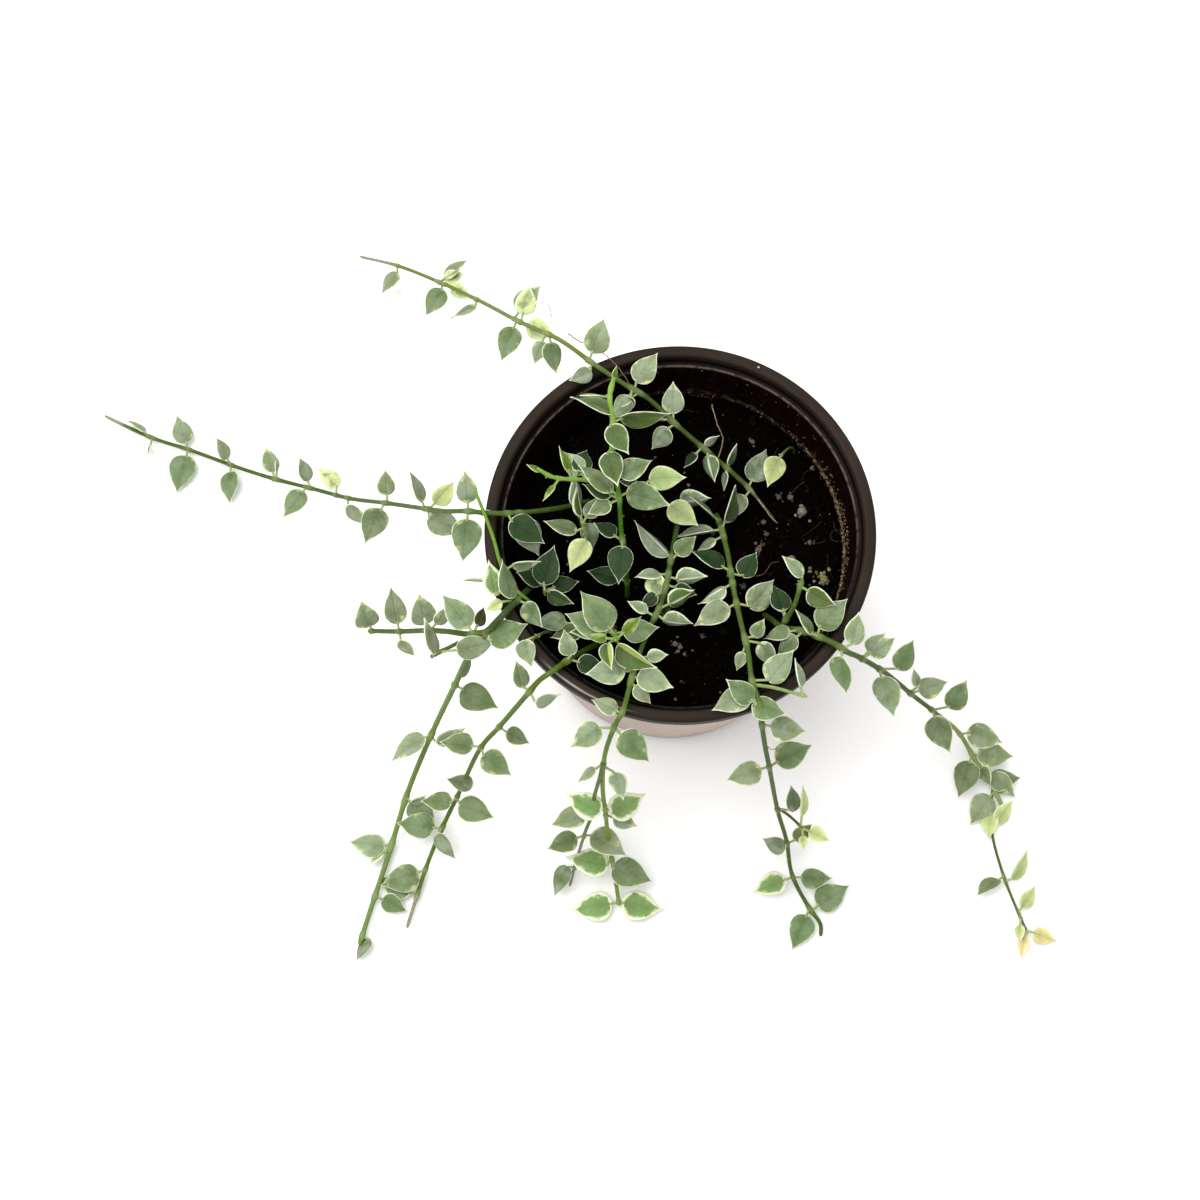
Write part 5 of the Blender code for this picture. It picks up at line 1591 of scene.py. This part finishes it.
def grow(context, trailing):
    """All the long vines, or all the short shoots."""
    looks = [stem_look(), blade_look()]
    for name in VINES:
        if name.startswith("vine") == trailing:
            build_growth(name, context.scene.dischidia_plant, looks)
    return {"FINISHED"}


class DISCHIDIA_OT_add_vines(bpy.types.Operator):
    """Grow the seven long vines that trail over the rim"""

    bl_idname = "dischidia.add_vines"
    bl_label = "Add Trailing Vines"

    def execute(self, context):
        return grow(context, trailing=True)


class DISCHIDIA_OT_add_shoots(bpy.types.Operator):
    """Grow the short shoots that stand in the pot"""

    bl_idname = "dischidia.add_shoots"
    bl_label = "Add Shoots"

    def execute(self, context):
        return grow(context, trailing=False)


class DISCHIDIA_OT_add_threads(bpy.types.Operator):
    """Lay the dried root threads over the vines and the soil"""

    bl_idname = "dischidia.add_threads"
    bl_label = "Add Dried Threads"

    def execute(self, context):
        growth = Growth()
        noise.seed_set(THREAD_SEED)
        tan, dark = np.array(TAN_THREAD), np.array(BROWN_THREAD)
        for number, (radius, brown, route) in enumerate(THREADS):
            points, _ = smooth(route)
            wander = [Vector((p[0] * 0.5, p[1] * 0.5, p[2] * 0.5 + number)) for p in points]
            points = points + np.array([noise.noise_vector(v) for v in wander]) * 0.25
            radii = radius * np.linspace(1.0, 0.55, len(points))
            shade = tan * (1 - brown) + dark * brown
            growth.add(*tube(points, radii, 8), STEM_SLOT, (*shade, 0))
        settled(growth.piece("dried_threads", [crumb_look()]), None)
        return {"FINISHED"}


class DISCHIDIA_OT_add_stage(bpy.types.Operator):
    """Set the pale floor, the soft light and the camera"""

    bl_idname = "dischidia.add_stage"
    bl_label = "Add Stage"

    def execute(self, context):
        settings = context.scene.dischidia_stage
        half = settings.floor_size / MM / 2
        corners = [(x * half, y * half, -0.1) for x, y in ((-1, -1), (1, -1), (1, 1), (-1, 1))]
        floor = add_piece("stage_floor", corners, [(0, 1, 2, 3)], [floor_look()])

        world = bpy.data.worlds.new("Soft Sky")
        world.use_nodes = True
        sky = world.node_tree.nodes["Background"]
        sky.inputs["Color"].default_value = (1.0, 1.0, 1.0, 1.0)
        sky.inputs["Strength"].default_value = settings.sky_strength
        context.scene.world = world

        light = bpy.data.lights.new("soft_key", "AREA")
        light.shape, light.size, light.size_y = "RECTANGLE", LIGHT_SIZE, LIGHT_SIZE
        light.energy = settings.key_power
        light.color = (1.0, 0.985, 0.96)
        key = bpy.data.objects.new("soft_key", light)
        key.location = LIGHT_PLACE
        aim = key.location - Vector(LIGHT_AIM)
        key.rotation_euler = aim.to_track_quat("Z", "Y").to_euler()
        context.scene.collection.objects.link(key)

        camera = bpy.data.cameras.new("view")
        camera.lens, camera.sensor_width = settings.lens, SENSOR_WIDTH
        camera.clip_start, camera.clip_end = 0.01, 50.0
        eye = bpy.data.objects.new("view", camera)
        eye.location = EYE_PLACE
        eye.rotation_euler = (math.radians(EYE_TILT), 0.0, 0.0)
        context.scene.collection.objects.link(eye)
        context.scene.camera = eye
        context.scene.view_settings.view_transform = "Standard"
        return {"FINISHED"}


class DISCHIDIA_PT_panel(bpy.types.Panel):
    """Lists the pieces of the potted dischidia and their settings"""

    bl_idname = "DISCHIDIA_PT_panel"
    bl_label = "Potted Dischidia"
    bl_space_type = "VIEW_3D"
    bl_region_type = "UI"
    bl_category = "Dischidia"

    def draw(self, context):
        for title, settings, operators in SECTIONS:
            box = self.layout.box()
            box.label(text=title)
            group = getattr(context.scene, settings)
            for name in group.bl_rna.properties.keys():
                if name not in ("rna_type", "name"):
                    box.prop(group, name)
            for operator in operators:
                box.operator(operator.bl_idname)


SECTIONS = [
    ("Pot", "dischidia_pot", [DISCHIDIA_OT_add_pot]),
    ("Soil", "dischidia_soil", [DISCHIDIA_OT_add_soil]),
    ("Plant", "dischidia_plant",
     [DISCHIDIA_OT_add_vines, DISCHIDIA_OT_add_shoots, DISCHIDIA_OT_add_threads]),
    ("Stage", "dischidia_stage", [DISCHIDIA_OT_add_stage]),
]
SETTINGS = {
    "dischidia_pot": DischidiaPotSettings, "dischidia_soil": DischidiaSoilSettings,
    "dischidia_plant": DischidiaPlantSettings, "dischidia_stage": DischidiaStageSettings}
OPERATORS = [operator for _, _, operators in SECTIONS for operator in operators]


def register():
    for cls in (*SETTINGS.values(), *OPERATORS, DISCHIDIA_PT_panel):
        bpy.utils.register_class(cls)
    for name, group in SETTINGS.items():
        setattr(bpy.types.Scene, name, PointerProperty(type=group))


def unregister():
    for name in SETTINGS:
        delattr(bpy.types.Scene, name)
    for cls in reversed((*SETTINGS.values(), *OPERATORS, DISCHIDIA_PT_panel)):
        bpy.utils.unregister_class(cls)


def main():
    register()
    bpy.ops.dischidia.add_pot()
    bpy.ops.dischidia.add_soil()
    bpy.ops.dischidia.add_vines()
    bpy.ops.dischidia.add_shoots()
    bpy.ops.dischidia.add_threads()
    bpy.ops.dischidia.add_stage()
    bpy.context.view_layer.update()


if __name__ == "__main__":
    main()
